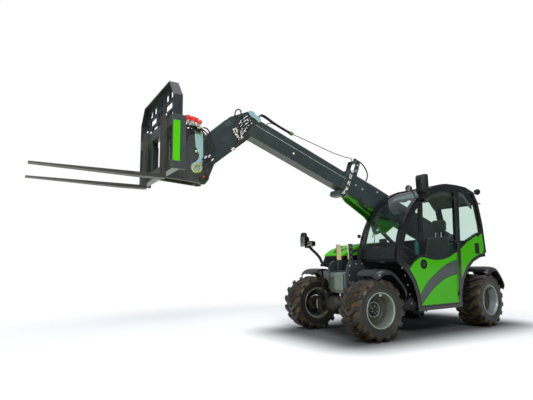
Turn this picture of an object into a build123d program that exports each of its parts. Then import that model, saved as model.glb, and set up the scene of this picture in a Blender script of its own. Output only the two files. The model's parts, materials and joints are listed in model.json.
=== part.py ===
from build123d import *
import os
from math import atan2, cos, degrees, hypot, pi, radians, sin

# Compact telescopic handler: offset cab on the left, engine hood on the right, a two-section boom
# between them and a pallet-fork carriage on a goose-neck head.
# Millimetres. +X is forwards, +Y is the machine's left, +Z is up, z = 0 is the ground.

# ---- driving dimensions -------------------------------------------------------------------------
front_x = -527.0            # front axle; puts z under the middle of the whole machine
wheelbase = 2233.0
rear_x = front_x - wheelbase

# wheels and steering
tyre_radius = 386.5
tyre_width = 390.0          # wide flotation tyres
tread_half = 174.0          # half width of the running face
rim_seat_radius = 207.0     # where the tyre's bead sits
rim_lip_radius = 223.0
rim_half = 182.0            # half width over the lips
rim_wall = 12.0
rim_face = 34.0             # the disc's bolt face, from the wheel's middle: a deep dish
rim_hole_radius = 86.0      # the hub's nose stands in it
lug_height = 22.0
lugs_a_side = 12
machine_y = -80.0           # middle plane between the wheels
wheel_y = 655.0             # from there to the middle plane of a wheel
kingpin_y = 430.0           # and to a kingpin, just inboard of the tyre
kingpin_radius = 42.0
front_steer_rest = -5.6     # the front wheels stand turned a little to the right
rear_steer_rest = 5.0       # and the rear ones the other way
fit = 0.3                   # gap between pieces that seat on each other
pin_fit = 0.4               # radial clearance of a pin in its bore
axle_z = tyre_radius

# boom
boom_y = -120.0             # the boom's middle plane
pivot_x = rear_x - 217.0
pivot_z = 1300.0
pivot_pin_radius = 35.0
boom_angle = 20.75          # at rest
telescope_stroke = 1350.0
outer_length = 2430.0       # pivot to the collar's front face
outer_tail = 110.0          # how far the outer boom reaches behind the pivot
outer_width = 200.0
outer_top = 158.0
outer_bottom = -172.0
outer_wall = 10.0
inner_length = 4070.0       # pivot to the inner boom's front end, telescope out
inner_overlap = 880.0       # inner boom left inside the outer one
inner_width = 160.0
inner_top = 128.0
inner_bottom = -138.0
inner_wall = 10.0
pad_length = 100.0          # wear pads at the collar and at the inner boom's tail

# frame
frame_half = 210.0          # half width over the two side plates
frame_plate = 30.0
frame_top = 1005.0
frame_belly = 400.0
frame_over_axle = 540.0

# cab
cab_top = 2100.0
cab_right = 20.0
cab_gap = 6.0               # between the frame's plate and the lower cab
cab_left = 750.0
cab_wall = 42.0
cab_split_z = 1030.0        # seam between the lower cab and its frame
sill_z = 330.0
arch_radius = 655.0         # wheel arches, about the axle
door_gap = 6.0
glass_thickness = 6.0

# head and carriage, from the inner boom's front end: x ahead of it and z above it
tilt_pin = (733.0, -737.0)
tilt_eye = (833.0, -432.0)          # where the tilt cylinder's rod meets the carriage
tilt_root = (83.0, 8.0)             # the tilt cylinder's pin in the boom head
carriage_y = boom_y - 40.0          # it reaches further to the right of the boom than to its left
carriage_half = 640.0
carriage_back = 1193.0
carriage_front = 1277.0
carriage_low = -782.0
carriage_high = -197.0
fork_spacing = 365.0                # half the distance between the forks
fork_width = 100.0
fork_thickness = 40.0
fork_length = 1240.0
fork_top = -812.0                   # blade's upper face
guard_top = 218.0
guard_corner_z = 25.0
guard_corner_half = 490.0

# cylinders
lift_root = (rear_x + 133.0, 600.0)         # lift cylinder's pin in the frame
lift_eye = (1500.0, -380.0)                 # its rod's eye, along and above the boom's axis


# ---- planes and small helpers -------------------------------------------------------------------
def side_plane(y):
    """A plane seen from the machine's left: local x is forwards, local y is up, extrude goes to -Y."""
    return Plane(origin=(0, y, 0), x_dir=(1, 0, 0), z_dir=(0, -1, 0))


def boom_plane(y):
    """The same, with local x along the boom from its pivot and local y above its axis."""
    slope = radians(boom_angle)
    return Plane(origin=(pivot_x, y, pivot_z), x_dir=(cos(slope), 0, sin(slope)), z_dir=(0, -1, 0))


def line_plane(start, end, y):
    """The same again, from one (x, z) point towards another."""
    return Plane(origin=(start[0], y, start[1]), x_dir=(end[0] - start[0], 0, end[1] - start[1]),
                 z_dir=(0, -1, 0))


def ahead(points):
    """Points given from the front axle, moved to the part's frame."""
    return [(front_x + x, z) for x, z in points]


def boom_point(along, above):
    """A point on the boom, as (x, z)."""
    slope = radians(boom_angle)
    return (pivot_x + along * cos(slope) - above * sin(slope),
            pivot_z + along * sin(slope) + above * cos(slope))


def from_head(points):
    """Points given from the inner boom's front end, moved to the part's frame."""
    head_x, head_z = boom_point(inner_length, 0)
    return [(head_x + x, head_z + z) for x, z in points]


def slab(outline, low_y, high_y, plane=side_plane, mode=Mode.ADD):
    """A plate of a side outline between two y values."""
    with BuildSketch(plane(high_y)) as profile:
        Polygon(*outline, align=None)
    extrude(profile.sketch, amount=high_y - low_y, mode=mode)


def disc(centre, radius, low_y, high_y, mode=Mode.ADD):
    """A round boss or bore across the machine at an (x, z) point."""
    with BuildSketch(side_plane(high_y)) as profile:
        with Locations(centre):
            Circle(radius)
    extrude(profile.sketch, amount=high_y - low_y, mode=mode)


def block(x_range, y_range, z_range, mode=Mode.ADD):
    """A straight block between named limits."""
    with Locations(((x_range[0] + x_range[1]) / 2, (y_range[0] + y_range[1]) / 2,
                    (z_range[0] + z_range[1]) / 2)):
        Box(x_range[1] - x_range[0], y_range[1] - y_range[0], z_range[1] - z_range[0], mode=mode)


def save(part, node):
    part.label = node
    export_step(part, "parts/" + node + ".step")


os.makedirs("parts", exist_ok=True)

# ---- frame --------------------------------------------------------------------------------------
frame_outline = [
    (front_x - 30, frame_over_axle + 60), (front_x - 30, frame_top - 105), (front_x - 60, frame_top - 40),
    (front_x - 130, frame_top), (pivot_x + 185, frame_top), (pivot_x + 150, pivot_z + 60),
    (pivot_x + 60, pivot_z + 125), (pivot_x - 60, pivot_z + 125), (pivot_x - 140, pivot_z + 50),
    (pivot_x - 200, frame_top), (pivot_x - 200, frame_over_axle), (rear_x + 480, frame_over_axle),
    (rear_x + 600, frame_belly), (front_x - 660, frame_belly), (front_x - 540, frame_over_axle),
    (front_x - 100, frame_over_axle)]
frame_inside = frame_half - frame_plate
eye_half = 35.0             # half width of a lift cylinder eye
lift_pin_radius = 25.0
with BuildPart() as chassis_frame:
    for side in (-1, 1):
        edges = sorted((boom_y + side * frame_half, boom_y + side * frame_inside))
        slab(frame_outline, edges[0], edges[1])
    between = (boom_y - frame_inside, boom_y + frame_inside)
    # cross members: nose, belly, behind the lift cylinder and the tail
    block((front_x - 330, front_x - 300), between, (frame_over_axle, frame_top - 165))
    block((rear_x + 600, front_x - 660), between, (frame_belly, frame_belly + 12))
    block((pivot_x - 200, pivot_x - 170), between, (frame_over_axle, frame_top))
    # bosses that carry the cab
    for mount_x in (front_x - 800, front_x - 1450):
        block((mount_x - 50, mount_x + 50), (boom_y + frame_half, boom_y + frame_half + cab_gap - fit), (600, 700))
    for axle_x in (rear_x, front_x - 170):
        block((axle_x - 60, axle_x + 60), between, (frame_over_axle, frame_over_axle + 12))
    # boom pivot pin and lift cylinder pin, each fixed in both plates
    disc((pivot_x, pivot_z), pivot_pin_radius, boom_y - frame_half - 15, boom_y + frame_half + 15)
    disc(lift_root, lift_pin_radius, *between)
    for side in (-1, 1):
        edges = sorted((boom_y + side * 70, boom_y + side * frame_inside))
        disc(lift_root, lift_pin_radius + 20, *edges)
save(chassis_frame.part, "chassis_frame")

# ---- axles --------------------------------------------------------------------------------------
beam_radius = 55.0
diff_radius = 125.0
beam_end_y = 360.0          # from the machine's middle plane
ear_height = 80.0           # inner faces of a kingpin yoke, above and below the axle
ear_thickness = 25.0
for node, x in (("front_axle", front_x), ("rear_axle", rear_x)):
    with BuildPart() as axle:
        with BuildSketch(Plane(origin=(x, 0, axle_z), x_dir=(0, 1, 0), z_dir=(1, 0, 0))):
            Polygon((machine_y - beam_end_y, 0), (machine_y - beam_end_y, beam_radius), (boom_y - 150, beam_radius),
                    (boom_y - 70, diff_radius), (boom_y + 70, diff_radius), (boom_y + 150, beam_radius),
                    (machine_y + beam_end_y, beam_radius), (machine_y + beam_end_y, 0), align=None)
        revolve(axis=Axis((x, 0, axle_z), (0, 1, 0)))
        # pads that bolt under the frame's side plates
        for side in (-1, 1):
            pad_y = boom_y + side * (frame_half - 35)
            block((x - 180, x + 50), (pad_y - 35, pad_y + 35), (axle_z, frame_over_axle))
        for side in (-1, 1):
            web = sorted((machine_y + side * (beam_end_y - 20), machine_y + side * (beam_end_y + 12)))
            block((x - 45, x + 45), web, (axle_z - ear_height - ear_thickness, axle_z + ear_height + ear_thickness))
            for low_z in (axle_z - ear_height - ear_thickness, axle_z + ear_height):
                arm = sorted((machine_y + side * beam_end_y, machine_y + side * kingpin_y))
                block((x - 45, x + 45), arm, (low_z, low_z + ear_thickness))
                with BuildSketch(Plane.XY.offset(low_z)):
                    with Locations((x, machine_y + side * kingpin_y)):
                        Circle(45)
                extrude(amount=ear_thickness)
    save(axle.part, node)

# ---- wheels, knuckles and fenders ---------------------------------------------------------------
# node suffix, axle x, side (+1 left), steering angle at rest
corners = [("fl", front_x, 1, front_steer_rest), ("fr", front_x, -1, front_steer_rest),
           ("rl", rear_x, 1, rear_steer_rest), ("rr", rear_x, -1, rear_steer_rest)]
bead_half = rim_half - rim_wall
barrel_radius = rim_seat_radius - rim_wall - 1
disc_wall = 14.0
rim_outline = [(rim_face, rim_hole_radius), (rim_face, 122), (rim_face + 18, 146), (rim_face + 18, 184),
               (rim_face + 30, barrel_radius), (bead_half, barrel_radius), (rim_half, rim_lip_radius - disc_wall),
               (rim_half, rim_lip_radius), (bead_half, rim_lip_radius), (bead_half, rim_seat_radius - fit),
               (-bead_half, rim_seat_radius - fit), (-bead_half, rim_lip_radius), (-rim_half, rim_lip_radius),
               (-rim_half, rim_lip_radius - disc_wall), (-bead_half, barrel_radius), (rim_face - 6, barrel_radius),
               (rim_face + 4, 184), (rim_face + 4, 146), (rim_face - disc_wall, 122),
               (rim_face - disc_wall, rim_hole_radius)]

# a lug, laid flat: outwards from the wheel's middle, and forwards round the tread
lug_outline = [(tread_half + 14, -88), (tread_half + 14, -30), (16, 76), (-44, 40), (-44, -14), (16, 12)]
lug_reach = 88.0            # the lug's furthest corner round the tread
lug_face = (tyre_radius ** 2 - lug_reach ** 2) ** 0.5
carcass_radius = tyre_radius - lug_height
shoulder_radius = 336.0
shoulder_width = tyre_width / 2 - tread_half
dish_radius = rim_lip_radius + 34       # where the sidewall starts to curve in towards the bead
tyre_sides = 2 * lugs_a_side
shoulder_taper = degrees(atan2(carcass_radius - shoulder_radius, shoulder_width))
dish_depth = tyre_width / 2 - bead_half
dish_taper = degrees(atan2(dish_radius - rim_lip_radius - 6, dish_depth))
# drawn about the Z axis; every corner of the machine gets a copy
with BuildPart() as tread:
    # chevron lugs: each row is half a pitch behind the other one
    for way in (1, -1):
        for lug in range(lugs_a_side):
            outwards = Plane.XY.rotated((0, 0, 360 / lugs_a_side * (lug + (0.5 if way < 0 else 0)))).x_dir
            foot = Plane(origin=outwards * (shoulder_radius + 8), x_dir=(0, 0, way), z_dir=outwards)
            with BuildSketch(foot) as bar:
                Polygon(*[(u, v * way) for u, v in lug_outline], align=None)
            extrude(bar.sketch, amount=lug_face - shoulder_radius - 8)
with BuildPart() as tyre_shape:
    for way in (1, -1):
        half = Plane(origin=(0, 0, 0), x_dir=(1, 0, 0), z_dir=(0, 0, way))
        with BuildSketch(half) as band:
            RegularPolygon(carcass_radius, tyre_sides)
        extrude(band.sketch, amount=tread_half)
        with BuildSketch(half.offset(tread_half)) as shoulder:
            RegularPolygon(carcass_radius, tyre_sides)
        extrude(shoulder.sketch, amount=shoulder_width, taper=shoulder_taper)
        with BuildSketch(half.offset(tyre_width / 2)) as dish:
            RegularPolygon(dish_radius, tyre_sides)
        extrude(dish.sketch, amount=-dish_depth, taper=dish_taper, mode=Mode.SUBTRACT)
    add(tread.part)
    with BuildSketch(Plane.XY.offset(-tyre_width / 2)) as bore:
        Circle(rim_seat_radius)
    extrude(bore.sketch, amount=tyre_width, mode=Mode.SUBTRACT)

# the chevrons point down at the front of every wheel, so the left tyres are the right ones' mirror image
tyre_of_side = {-1: tyre_shape.part, 1: mirror(tyre_shape.part, about=Plane.XZ)}

# fenders: path of the underside over the axle, from just ahead of the tyre's crown
fender_top = 872.0           # underside of the flat stretch
fender_path = [(92, 800), (12, 856), (-50, fender_top), (-180, fender_top), (-290, 778), (-395, 655), (-452, 530)]
fender_inner_y = 450.0       # from the machine's middle plane
fender_outer_y = 882.0
fender_thickness = 12.0
fender_lip = 70.0            # how far the outer edge turns down
fender_corner = 60.0
fender_post_x = -72.0        # behind the kingpin
hub_back = -60.0            # back of the hub's drum, from the wheel's middle
hub_radius = 100.0
hub_nose = rim_face + 22    # end of the hub's nose
hub_nose_radius = rim_hole_radius - 6
for suffix, x, side, steer in corners:
    turn = radians(steer)
    forward = Vector(cos(turn), sin(turn), 0)
    outward = Vector(-sin(turn), cos(turn), 0) * side
    kingpin = Vector(x, machine_y + side * kingpin_y, axle_z)
    centre = kingpin + outward * (wheel_y - kingpin_y)
    # local x runs outward along the spindle and local y is up
    section = Plane(origin=centre, x_dir=outward, z_dir=outward.cross(Vector(0, 0, 1)))
    spindle = Axis(centre, outward)
    with BuildPart() as tyre:
        add(Plane(origin=centre, x_dir=(0, 0, 1), z_dir=outward).location * tyre_of_side[side])
    save(tyre.part, "tyre_" + suffix)
    with BuildPart() as rim:
        with BuildSketch(section):
            Polygon(*rim_outline, align=None)
        revolve(axis=spindle)
    save(rim.part, "rim_" + suffix)
    # the knuckle: kingpin barrel, spindle, hub flange and the post that carries the fender
    steered = Plane(origin=kingpin, x_dir=forward, z_dir=(0, 0, 1))
    with BuildPart() as knuckle:
        with BuildSketch(steered.offset(-ear_height + fit)):
            Circle(kingpin_radius)
        extrude(amount=2 * (ear_height - fit))
        with BuildSketch(section.offset(0)):
            Polygon((kingpin_y - wheel_y, 0), (kingpin_y - wheel_y, 40), (hub_back, 40), (hub_back, hub_radius),
                    (rim_face - disc_wall - fit, hub_radius), (rim_face - disc_wall - fit, hub_nose_radius),
                    (hub_nose - 16, hub_nose_radius), (hub_nose, hub_nose_radius - 20), (hub_nose, 0), align=None)
        revolve(axis=spindle)
        with BuildSketch(steered.offset(-30)):
            with Locations((fender_post_x / 2 - 5, side * 14)):
                Rectangle(10 - fender_post_x, 20)
        extrude(amount=60)
        with BuildSketch(steered.offset(-30)):
            with Locations((fender_post_x, side * 14)):
                Rectangle(20, 20)
        extrude(amount=fender_top - fit - axle_z + 30)
        with BuildSketch(steered.offset(fender_top - fit - axle_z - 12)):
            with Locations((fender_post_x - 38, side * (fender_inner_y - kingpin_y + 110) / 2)):
                Rectangle(120, fender_inner_y - kingpin_y + 110)
        extrude(amount=12)
    save(knuckle.part, "knuckle_" + suffix)
    fender_plane = Plane(origin=Vector(x, machine_y + side * kingpin_y, 0) + outward * (fender_outer_y - kingpin_y if side > 0
                         else fender_inner_y - kingpin_y), x_dir=forward, z_dir=Vector(0, 0, 1).cross(forward) * -1)
    width = fender_outer_y - fender_inner_y
    with BuildPart() as fender:
        with BuildSketch(fender_plane) as sheet:
            with BuildLine():
                Polyline(*fender_path)
                offset(amount=fender_thickness, side=Side.RIGHT)
            make_face()
        extrude(sheet.sketch, amount=width)
        # the outer edge turns down
        edge_plane = fender_plane if side > 0 else fender_plane.offset(width - fender_thickness)
        with BuildSketch(edge_plane) as edge:
            with BuildLine():
                Polyline(*fender_path)
                offset(amount=fender_lip, side=Side.LEFT)
            make_face()
        extrude(edge.sketch, amount=fender_thickness)
        # rounded corners, seen from above
        front, back = fender_path[0][0], fender_path[-1][0]
        with BuildSketch(steered) as plan:
            with Locations(((front + back) / 2, side * (fender_inner_y + width / 2 - kingpin_y))):
                RectangleRounded(front - back, width, fender_corner)
        extrude(plan.sketch, amount=fender_top, mode=Mode.INTERSECT)
    save(fender.part, "fender_" + suffix)

# ---- nose box, boom guides, counterweight, engine, hood -------------------------------------------
nose_y = (boom_y - frame_inside + fit, boom_y + frame_inside - fit)
prow = 14.0
with BuildPart() as nose_box:
    # its front is a low prow, with the top edge cut back
    with BuildSketch(Plane.XY.offset(frame_over_axle + 20)):
        Polygon((front_x - 300 + fit, nose_y[0]), (front_x - 40, nose_y[0]), (front_x + prow, boom_y),
                (front_x - 6, nose_y[1]), (front_x - 300 + fit, nose_y[1]), align=None)
    extrude(amount=frame_top - 165 - frame_over_axle - 20)
    chamfer(nose_box.edges().group_by(Axis.Z)[-1].sort_by(Axis.X)[-2:], length=22)
save(nose_box.part, "nose_box")

guide_gap = 214.0           # between the guides, for the lowered boom
guide_x = front_x - 175
guide_plate = 25.0
guide_pad = 8.0
guide_rise = 235.0          # top of the guides, above the frame
with BuildPart() as boom_guides:
    block((guide_x - 40, guide_x + 40), nose_y, (frame_top - 165 + fit, frame_top - 145))
    for side in (-1, 1):
        pad_face = boom_y + side * guide_gap / 2
        post = sorted((pad_face + side * guide_pad, pad_face + side * (guide_pad + guide_plate)))
        block((guide_x - 35, guide_x + 35), post, (frame_top - 145, frame_top + guide_rise))
        pad = sorted((pad_face, pad_face + side * guide_pad))
        block((guide_x - 28, guide_x + 28), pad, (frame_top + 15, frame_top + guide_rise - 10))
save(boom_guides.part, "boom_guides")

tail_x = pivot_x - 200      # the frame's rear end
weight_length = 150.0
with BuildPart() as counterweight:
    block((tail_x - weight_length, tail_x - fit), (boom_y - 225, boom_y + 225), (450, 1000))
    fillet(counterweight.edges().group_by(Axis.X)[0].filter_by(Axis.Z), radius=60)
    # tow jaw with an upright bore for its pin
    block((tail_x - weight_length - 70, tail_x - weight_length), (boom_y - 45, boom_y + 45), (500, 520))
    block((tail_x - weight_length - 70, tail_x - weight_length), (boom_y - 45, boom_y + 45), (580, 600))
    with BuildSketch(Plane.XY.offset(500)):
        with Locations((tail_x - weight_length - 35, boom_y)):
            Circle(16)
    extrude(amount=100, mode=Mode.SUBTRACT)
save(counterweight.part, "counterweight")

engine_middle = rear_x + 0.47 * wheelbase
engine_x = (engine_middle - 350, engine_middle + 350)
engine_y = (boom_y - 580, boom_y - 250)
with BuildPart() as engine_block:
    block(engine_x, engine_y, (500, 960))
save(engine_block.part, "engine_block")

# engine bay: the black lower tub on the right, open upwards, arched over both wheels
bay_outer_y = -790.0
bay_inner_y = boom_y - frame_half - fit
bay_wall = 20.0


def arch_front(radius):
    """Points round the back of the front wheel, from over the axle down to the sill."""
    return [(front_x - radius * sin(radians(a)), axle_z + radius * cos(radians(a))) for a in (28, 45, 62, 79)] + [
        (front_x - radius, sill_z)]


def arch_rear(radius):
    """Points round the front of the rear wheel, from the sill up to over the axle."""
    return [(rear_x + radius, sill_z)] + [
        (rear_x + radius * sin(radians(a)), axle_z + radius * cos(radians(a))) for a in (79, 62, 45, 28, 12, 0)]


bay_rear_top = (rear_x - 20, 1125)      # the seam under the hood, at its rear and at its front
bay_front_top = (front_x - 356, 1080)
bay_outline = arch_front(arch_radius) + arch_rear(arch_radius) + [bay_rear_top, bay_front_top, (front_x - 312, 990)]
with BuildPart() as engine_bay:
    slab(bay_outline, bay_outer_y, bay_inner_y)
    with BuildSketch(side_plane(bay_inner_y - bay_wall)) as hollow:
        Polygon(*bay_outline, align=None)
        offset(amount=-bay_wall, mode=Mode.REPLACE)
    extrude(hollow.sketch, amount=bay_inner_y - bay_outer_y - 2 * bay_wall, mode=Mode.SUBTRACT)
    slab([(front_x - 440, 1020), (front_x - 440, 1200), (rear_x + 60, 1200), (rear_x + 60, 1070)],
         bay_outer_y + bay_wall, bay_inner_y - bay_wall, mode=Mode.SUBTRACT)
    # carriers under the engine
    for carrier_x in (engine_x[0] + 100, engine_x[1] - 100):
        block((carrier_x - 30, carrier_x + 30), (bay_outer_y + 5, bay_inner_y - 5), (470, 500 - fit))
save(engine_bay.part, "engine_bay")

hood_wall = 18.0
hood_round = 14.0
hood_inner_y = boom_y - frame_half - 6
hood_outer_y = -815.0
hood_gap = fit
hood_outline = [(bay_front_top[0], bay_front_top[1] + hood_gap), (front_x - 380, 1112), (front_x - 487, 1176),
                (front_x - 700, 1245), (front_x - 1100, 1288), (rear_x + 500, 1300), (rear_x + 40, 1290),
                (rear_x - 20, 1240), (bay_rear_top[0], bay_rear_top[1] + hood_gap)]
hood_hinge = (front_x - 1200, hood_inner_y, 1240.0)
with BuildPart() as hood:
    slab(hood_outline, hood_outer_y, hood_inner_y)
    with BuildSketch(side_plane(hood_inner_y - hood_wall)) as hollow:
        Polygon(*hood_outline, align=None)
        offset(amount=-hood_wall, mode=Mode.REPLACE)
    extrude(hollow.sketch, amount=hood_inner_y - hood_outer_y - 2 * hood_wall, mode=Mode.SUBTRACT)
    slab([(front_x - 410, 1060), (front_x - 410, 1110), (rear_x + 20, 1170), (rear_x + 20, 1060)],
         hood_outer_y + hood_wall, hood_inner_y - hood_wall, mode=Mode.SUBTRACT)
    # rounded along its outer edge
    fillet(hood.edges().group_by(Axis.Y)[0].filter_by(lambda edge: edge.center().Z > 1230), radius=hood_round)
save(hood.part, "hood")

# ---- cab ----------------------------------------------------------------------------------------
cab_foot = (front_x - 0.458 * arch_radius, axle_z + 0.914 * arch_radius)    # the windscreen's lowest point
cab_back = [(rear_x - 34, axle_z + arch_radius + 58), (rear_x + 5, cab_top - 560), (rear_x + 77, cab_top - 233),
            (rear_x + 173, cab_top - 78), (rear_x + 366, cab_top - 15), (rear_x + 583, cab_top)]
roof_start = (rear_x + 801, cab_top)
with BuildSketch() as cab_outline:
    with BuildLine():
        ThreePointArc(cab_foot, (front_x - 640, cab_top - 365), roof_start)
        Polyline(roof_start, *reversed(cab_back))
        Polyline(cab_back[0], (rear_x, axle_z + arch_radius + 50), *reversed(arch_rear(arch_radius)),
                 *reversed(arch_front(arch_radius)), cab_foot)
    make_face()
pillar_x = ((rear_x + 603, 2050), (rear_x + 703, 370))      # rear edge of the door, top and bottom


def pillar_at(z):
    """Where the door's rear edge is at a height."""
    (top_x, top_z), (low_x, low_z) = pillar_x
    return low_x + (top_x - low_x) * (z - low_z) / (top_z - low_z)


def ahead_of_pillar(shift):
    """Everything in front of the door's rear edge, moved forwards by a shift."""
    return [(pillar_at(200) + shift, 200), (front_x + 200, 200), (front_x + 200, 2300),
            (pillar_at(2300) + shift, 2300)]


def behind_pillar(shift):
    return [(pillar_at(200) + shift, 200), (front_x - 2600, 200), (front_x - 2600, 2300),
            (pillar_at(2300) + shift, 2300)]


# the seam over the green lower panels: a wave across the door, then up to the cab's rear
wave = ahead([(-440, 800), (-506, 865), (-621, 968), (-717, 1020), (-800, 1035), (-916, 1015), (-1010, 997),
              (-1107, 993), (-1233, 1003), (-1364, 1033), (-1522, 1098), (-1700, 1180)])
quarter_rise = [(rear_x + 700, 1088), (rear_x + 412, 1259), (rear_x + 171, 1358), (rear_x - 100, 1420)]
wave_border = 30.0          # the black frame between a panel and the glass over it
cab_band = 50.0             # the black frame all round the door and the rear quarter


def under(line, shift):
    """Everything under a seam, with the seam moved up by a shift."""
    return [(x, z + shift) for x, z in line] + [(line[-1][0], 0), (line[0][0], 0)]


with BuildSketch() as door_opening:
    add(cab_outline.sketch)
    offset(amount=-cab_band, mode=Mode.REPLACE)
    Polygon(*behind_pillar(0), align=None, mode=Mode.SUBTRACT)
with BuildSketch() as rear_quarter:
    add(cab_outline.sketch)
    offset(amount=-cab_band, mode=Mode.REPLACE)
    Polygon(*ahead_of_pillar(-62), align=None, mode=Mode.SUBTRACT)
with BuildSketch() as quarter_window:
    add(rear_quarter.sketch)
    Polygon(*under(quarter_rise, wave_border), align=None, mode=Mode.SUBTRACT)
with BuildSketch() as quarter_shape:
    add(rear_quarter.sketch)
    Polygon(*under(quarter_rise, 0), align=None, mode=Mode.INTERSECT)
with BuildSketch() as right_window:
    add(cab_outline.sketch)
    offset(amount=-75, mode=Mode.REPLACE)
    Polygon((front_x, 0), (front_x, 1200), (front_x - 2600, 1400), (front_x - 2600, 0), align=None,
            mode=Mode.SUBTRACT)
    Polygon(*behind_pillar(-30), align=None, mode=Mode.SUBTRACT)
with BuildSketch() as right_rear_window:
    add(cab_outline.sketch)
    offset(amount=-75, mode=Mode.REPLACE)
    Polygon((front_x, 0), (front_x, 1200), (front_x - 2600, 1400), (front_x - 2600, 0), align=None,
            mode=Mode.SUBTRACT)
    Polygon(*ahead_of_pillar(-110), align=None, mode=Mode.SUBTRACT)
with BuildSketch() as cab_inside:
    add(cab_outline.sketch)
    offset(amount=-cab_wall, mode=Mode.REPLACE)


def side_cut(sketch, low_y, high_y, mode=Mode.SUBTRACT):
    """A flat side outline, drawn in x and z, cut or grown between two y values."""
    extrude(side_plane(high_y) * sketch, amount=high_y - low_y, mode=mode)


door_hinge_z = 1200.0
door_hinge_x = pillar_at(door_hinge_z)
door_hinge_y = cab_left + 10
hinge_radius = 8.0
hinge_pin_radius = 4.5
hinge_half = 30.0           # half length of the door's hinge barrel
low_hinge_z = 520.0
high_hinge_z = 1450.0


def hinge_plane(z):
    """Across the door's hinge line at a height."""
    return Plane(origin=(pillar_at(z), door_hinge_y, z), x_dir=(1, 0, 0),
                 z_dir=(pillar_x[0][0] - pillar_x[1][0], 0, pillar_x[0][1] - pillar_x[1][1]))


def hinge_barrel(z, low, high, side, radius):
    """A stretch of hinge barrel from low to high about a hinge's height, with its leaf to one side."""
    with BuildSketch(hinge_plane(z).offset(low)) as ring:
        Circle(radius)
        with Locations((side * 22, (cab_left - door_hinge_y) / 2)):
            Rectangle(44, door_hinge_y - cab_left)
    extrude(ring.sketch, amount=high - low)


def frame_hinge(z):
    """The pillar's half of a hinge: its barrel above the door's and the pin through both."""
    hinge_barrel(z, hinge_half + fit, 2 * hinge_half, -1, hinge_radius)
    with BuildSketch(hinge_plane(z).offset(-hinge_half)) as ring:
        Circle(hinge_pin_radius)
    extrude(ring.sketch, amount=3 * hinge_half)


foot_right = boom_y + frame_half + cab_gap     # the lower cab stands outboard of the frame's plate
wind_low_z = 1175.0
wind_back_x = front_x - 1180
with BuildPart() as cab_frame:
    side_cut(cab_outline.sketch, cab_right, cab_left, Mode.ADD)
    side_cut(cab_inside.sketch, cab_right + cab_wall, cab_left - cab_wall)
    for hole in (door_opening, quarter_window, quarter_shape):
        side_cut(hole.sketch, cab_left - cab_wall - 1, cab_left + 1)
    for hole in (right_window, right_rear_window):
        side_cut(hole.sketch, cab_right - 1, cab_right + cab_wall + 1)
    # windscreen and rear window
    block((wind_back_x, front_x), (cab_right + 60, cab_left - 60), (wind_low_z, 2300), Mode.SUBTRACT)
    block((front_x - 2300, front_x - 1960), (cab_right + 70, cab_left - 70), (1300, 1830), Mode.SUBTRACT)
    split(bisect_by=Plane.XY.offset(cab_split_z), keep=Keep.TOP)
    frame_hinge(high_hinge_z)
save(cab_frame.part, "cab_frame")

with BuildPart() as cab_shelf:
    side_cut(cab_outline.sketch, cab_right, foot_right + cab_wall, Mode.ADD)
    block((front_x - 2400, front_x), (cab_right - 1, cab_left), (frame_top + 6, cab_split_z), Mode.INTERSECT)
with BuildPart() as cab_base:
    side_cut(cab_outline.sketch, foot_right, cab_left, Mode.ADD)
    side_cut(cab_inside.sketch, foot_right + cab_wall, cab_left - cab_wall)
    for hole in (door_opening, quarter_shape):
        side_cut(hole.sketch, cab_left - cab_wall - 1, cab_left + 1)
    split(bisect_by=Plane.XY.offset(cab_split_z), keep=Keep.BOTTOM)
    add(cab_shelf.part)
    frame_hinge(low_hinge_z)
save(cab_base.part, "cab_base")

# door: a black frame with a window over a green panel, hinged at the rear pillar
door_thickness = 36.0
panel_depth = 14.0          # the panel lies in a recess this deep
panel_border = 14.0
with BuildSketch() as door_shape:
    add(door_opening.sketch)
    offset(amount=-door_gap, mode=Mode.REPLACE)
with BuildSketch() as door_window:
    add(door_shape.sketch)
    offset(amount=-44, mode=Mode.REPLACE)
    Polygon(*under(wave, wave_border), align=None, mode=Mode.SUBTRACT)
with BuildSketch() as panel_recess:
    add(door_shape.sketch)
    offset(amount=-panel_border, mode=Mode.REPLACE)
    Polygon(*under(wave, 0), align=None, mode=Mode.INTERSECT)
handle_at = (front_x - 808, 943)
with BuildPart() as door:
    side_cut(door_shape.sketch, cab_left - door_thickness, cab_left, Mode.ADD)
    side_cut(door_window.sketch, cab_left - door_thickness - 1, cab_left + 1)
    side_cut(panel_recess.sketch, cab_left - panel_depth, cab_left + 1)
    # round handle, standing in the panel's hole
    disc(handle_at, 38, cab_left - panel_depth - 1, cab_left - 4)
    disc(handle_at, 26, cab_left - 8, cab_left + 4)
    for z in (low_hinge_z, high_hinge_z):
        hinge_barrel(z, -hinge_half, hinge_half, 1, hinge_radius)
        with BuildSketch(hinge_plane(z).offset(-hinge_half - 1)) as bore:
            Circle(hinge_pin_radius + pin_fit)
        extrude(bore.sketch, amount=2 * hinge_half + 2, mode=Mode.SUBTRACT)
save(door.part, "door")
with BuildPart() as door_panel:
    with BuildSketch() as pressing:
        add(panel_recess.sketch)
        offset(amount=-fit, mode=Mode.REPLACE)
    side_cut(pressing.sketch, cab_left - panel_depth + fit, cab_left - fit, Mode.ADD)
    disc(handle_at, 66, cab_left - panel_depth - 1, cab_left + 1, Mode.SUBTRACT)
save(door_panel.part, "door_panel")

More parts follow.
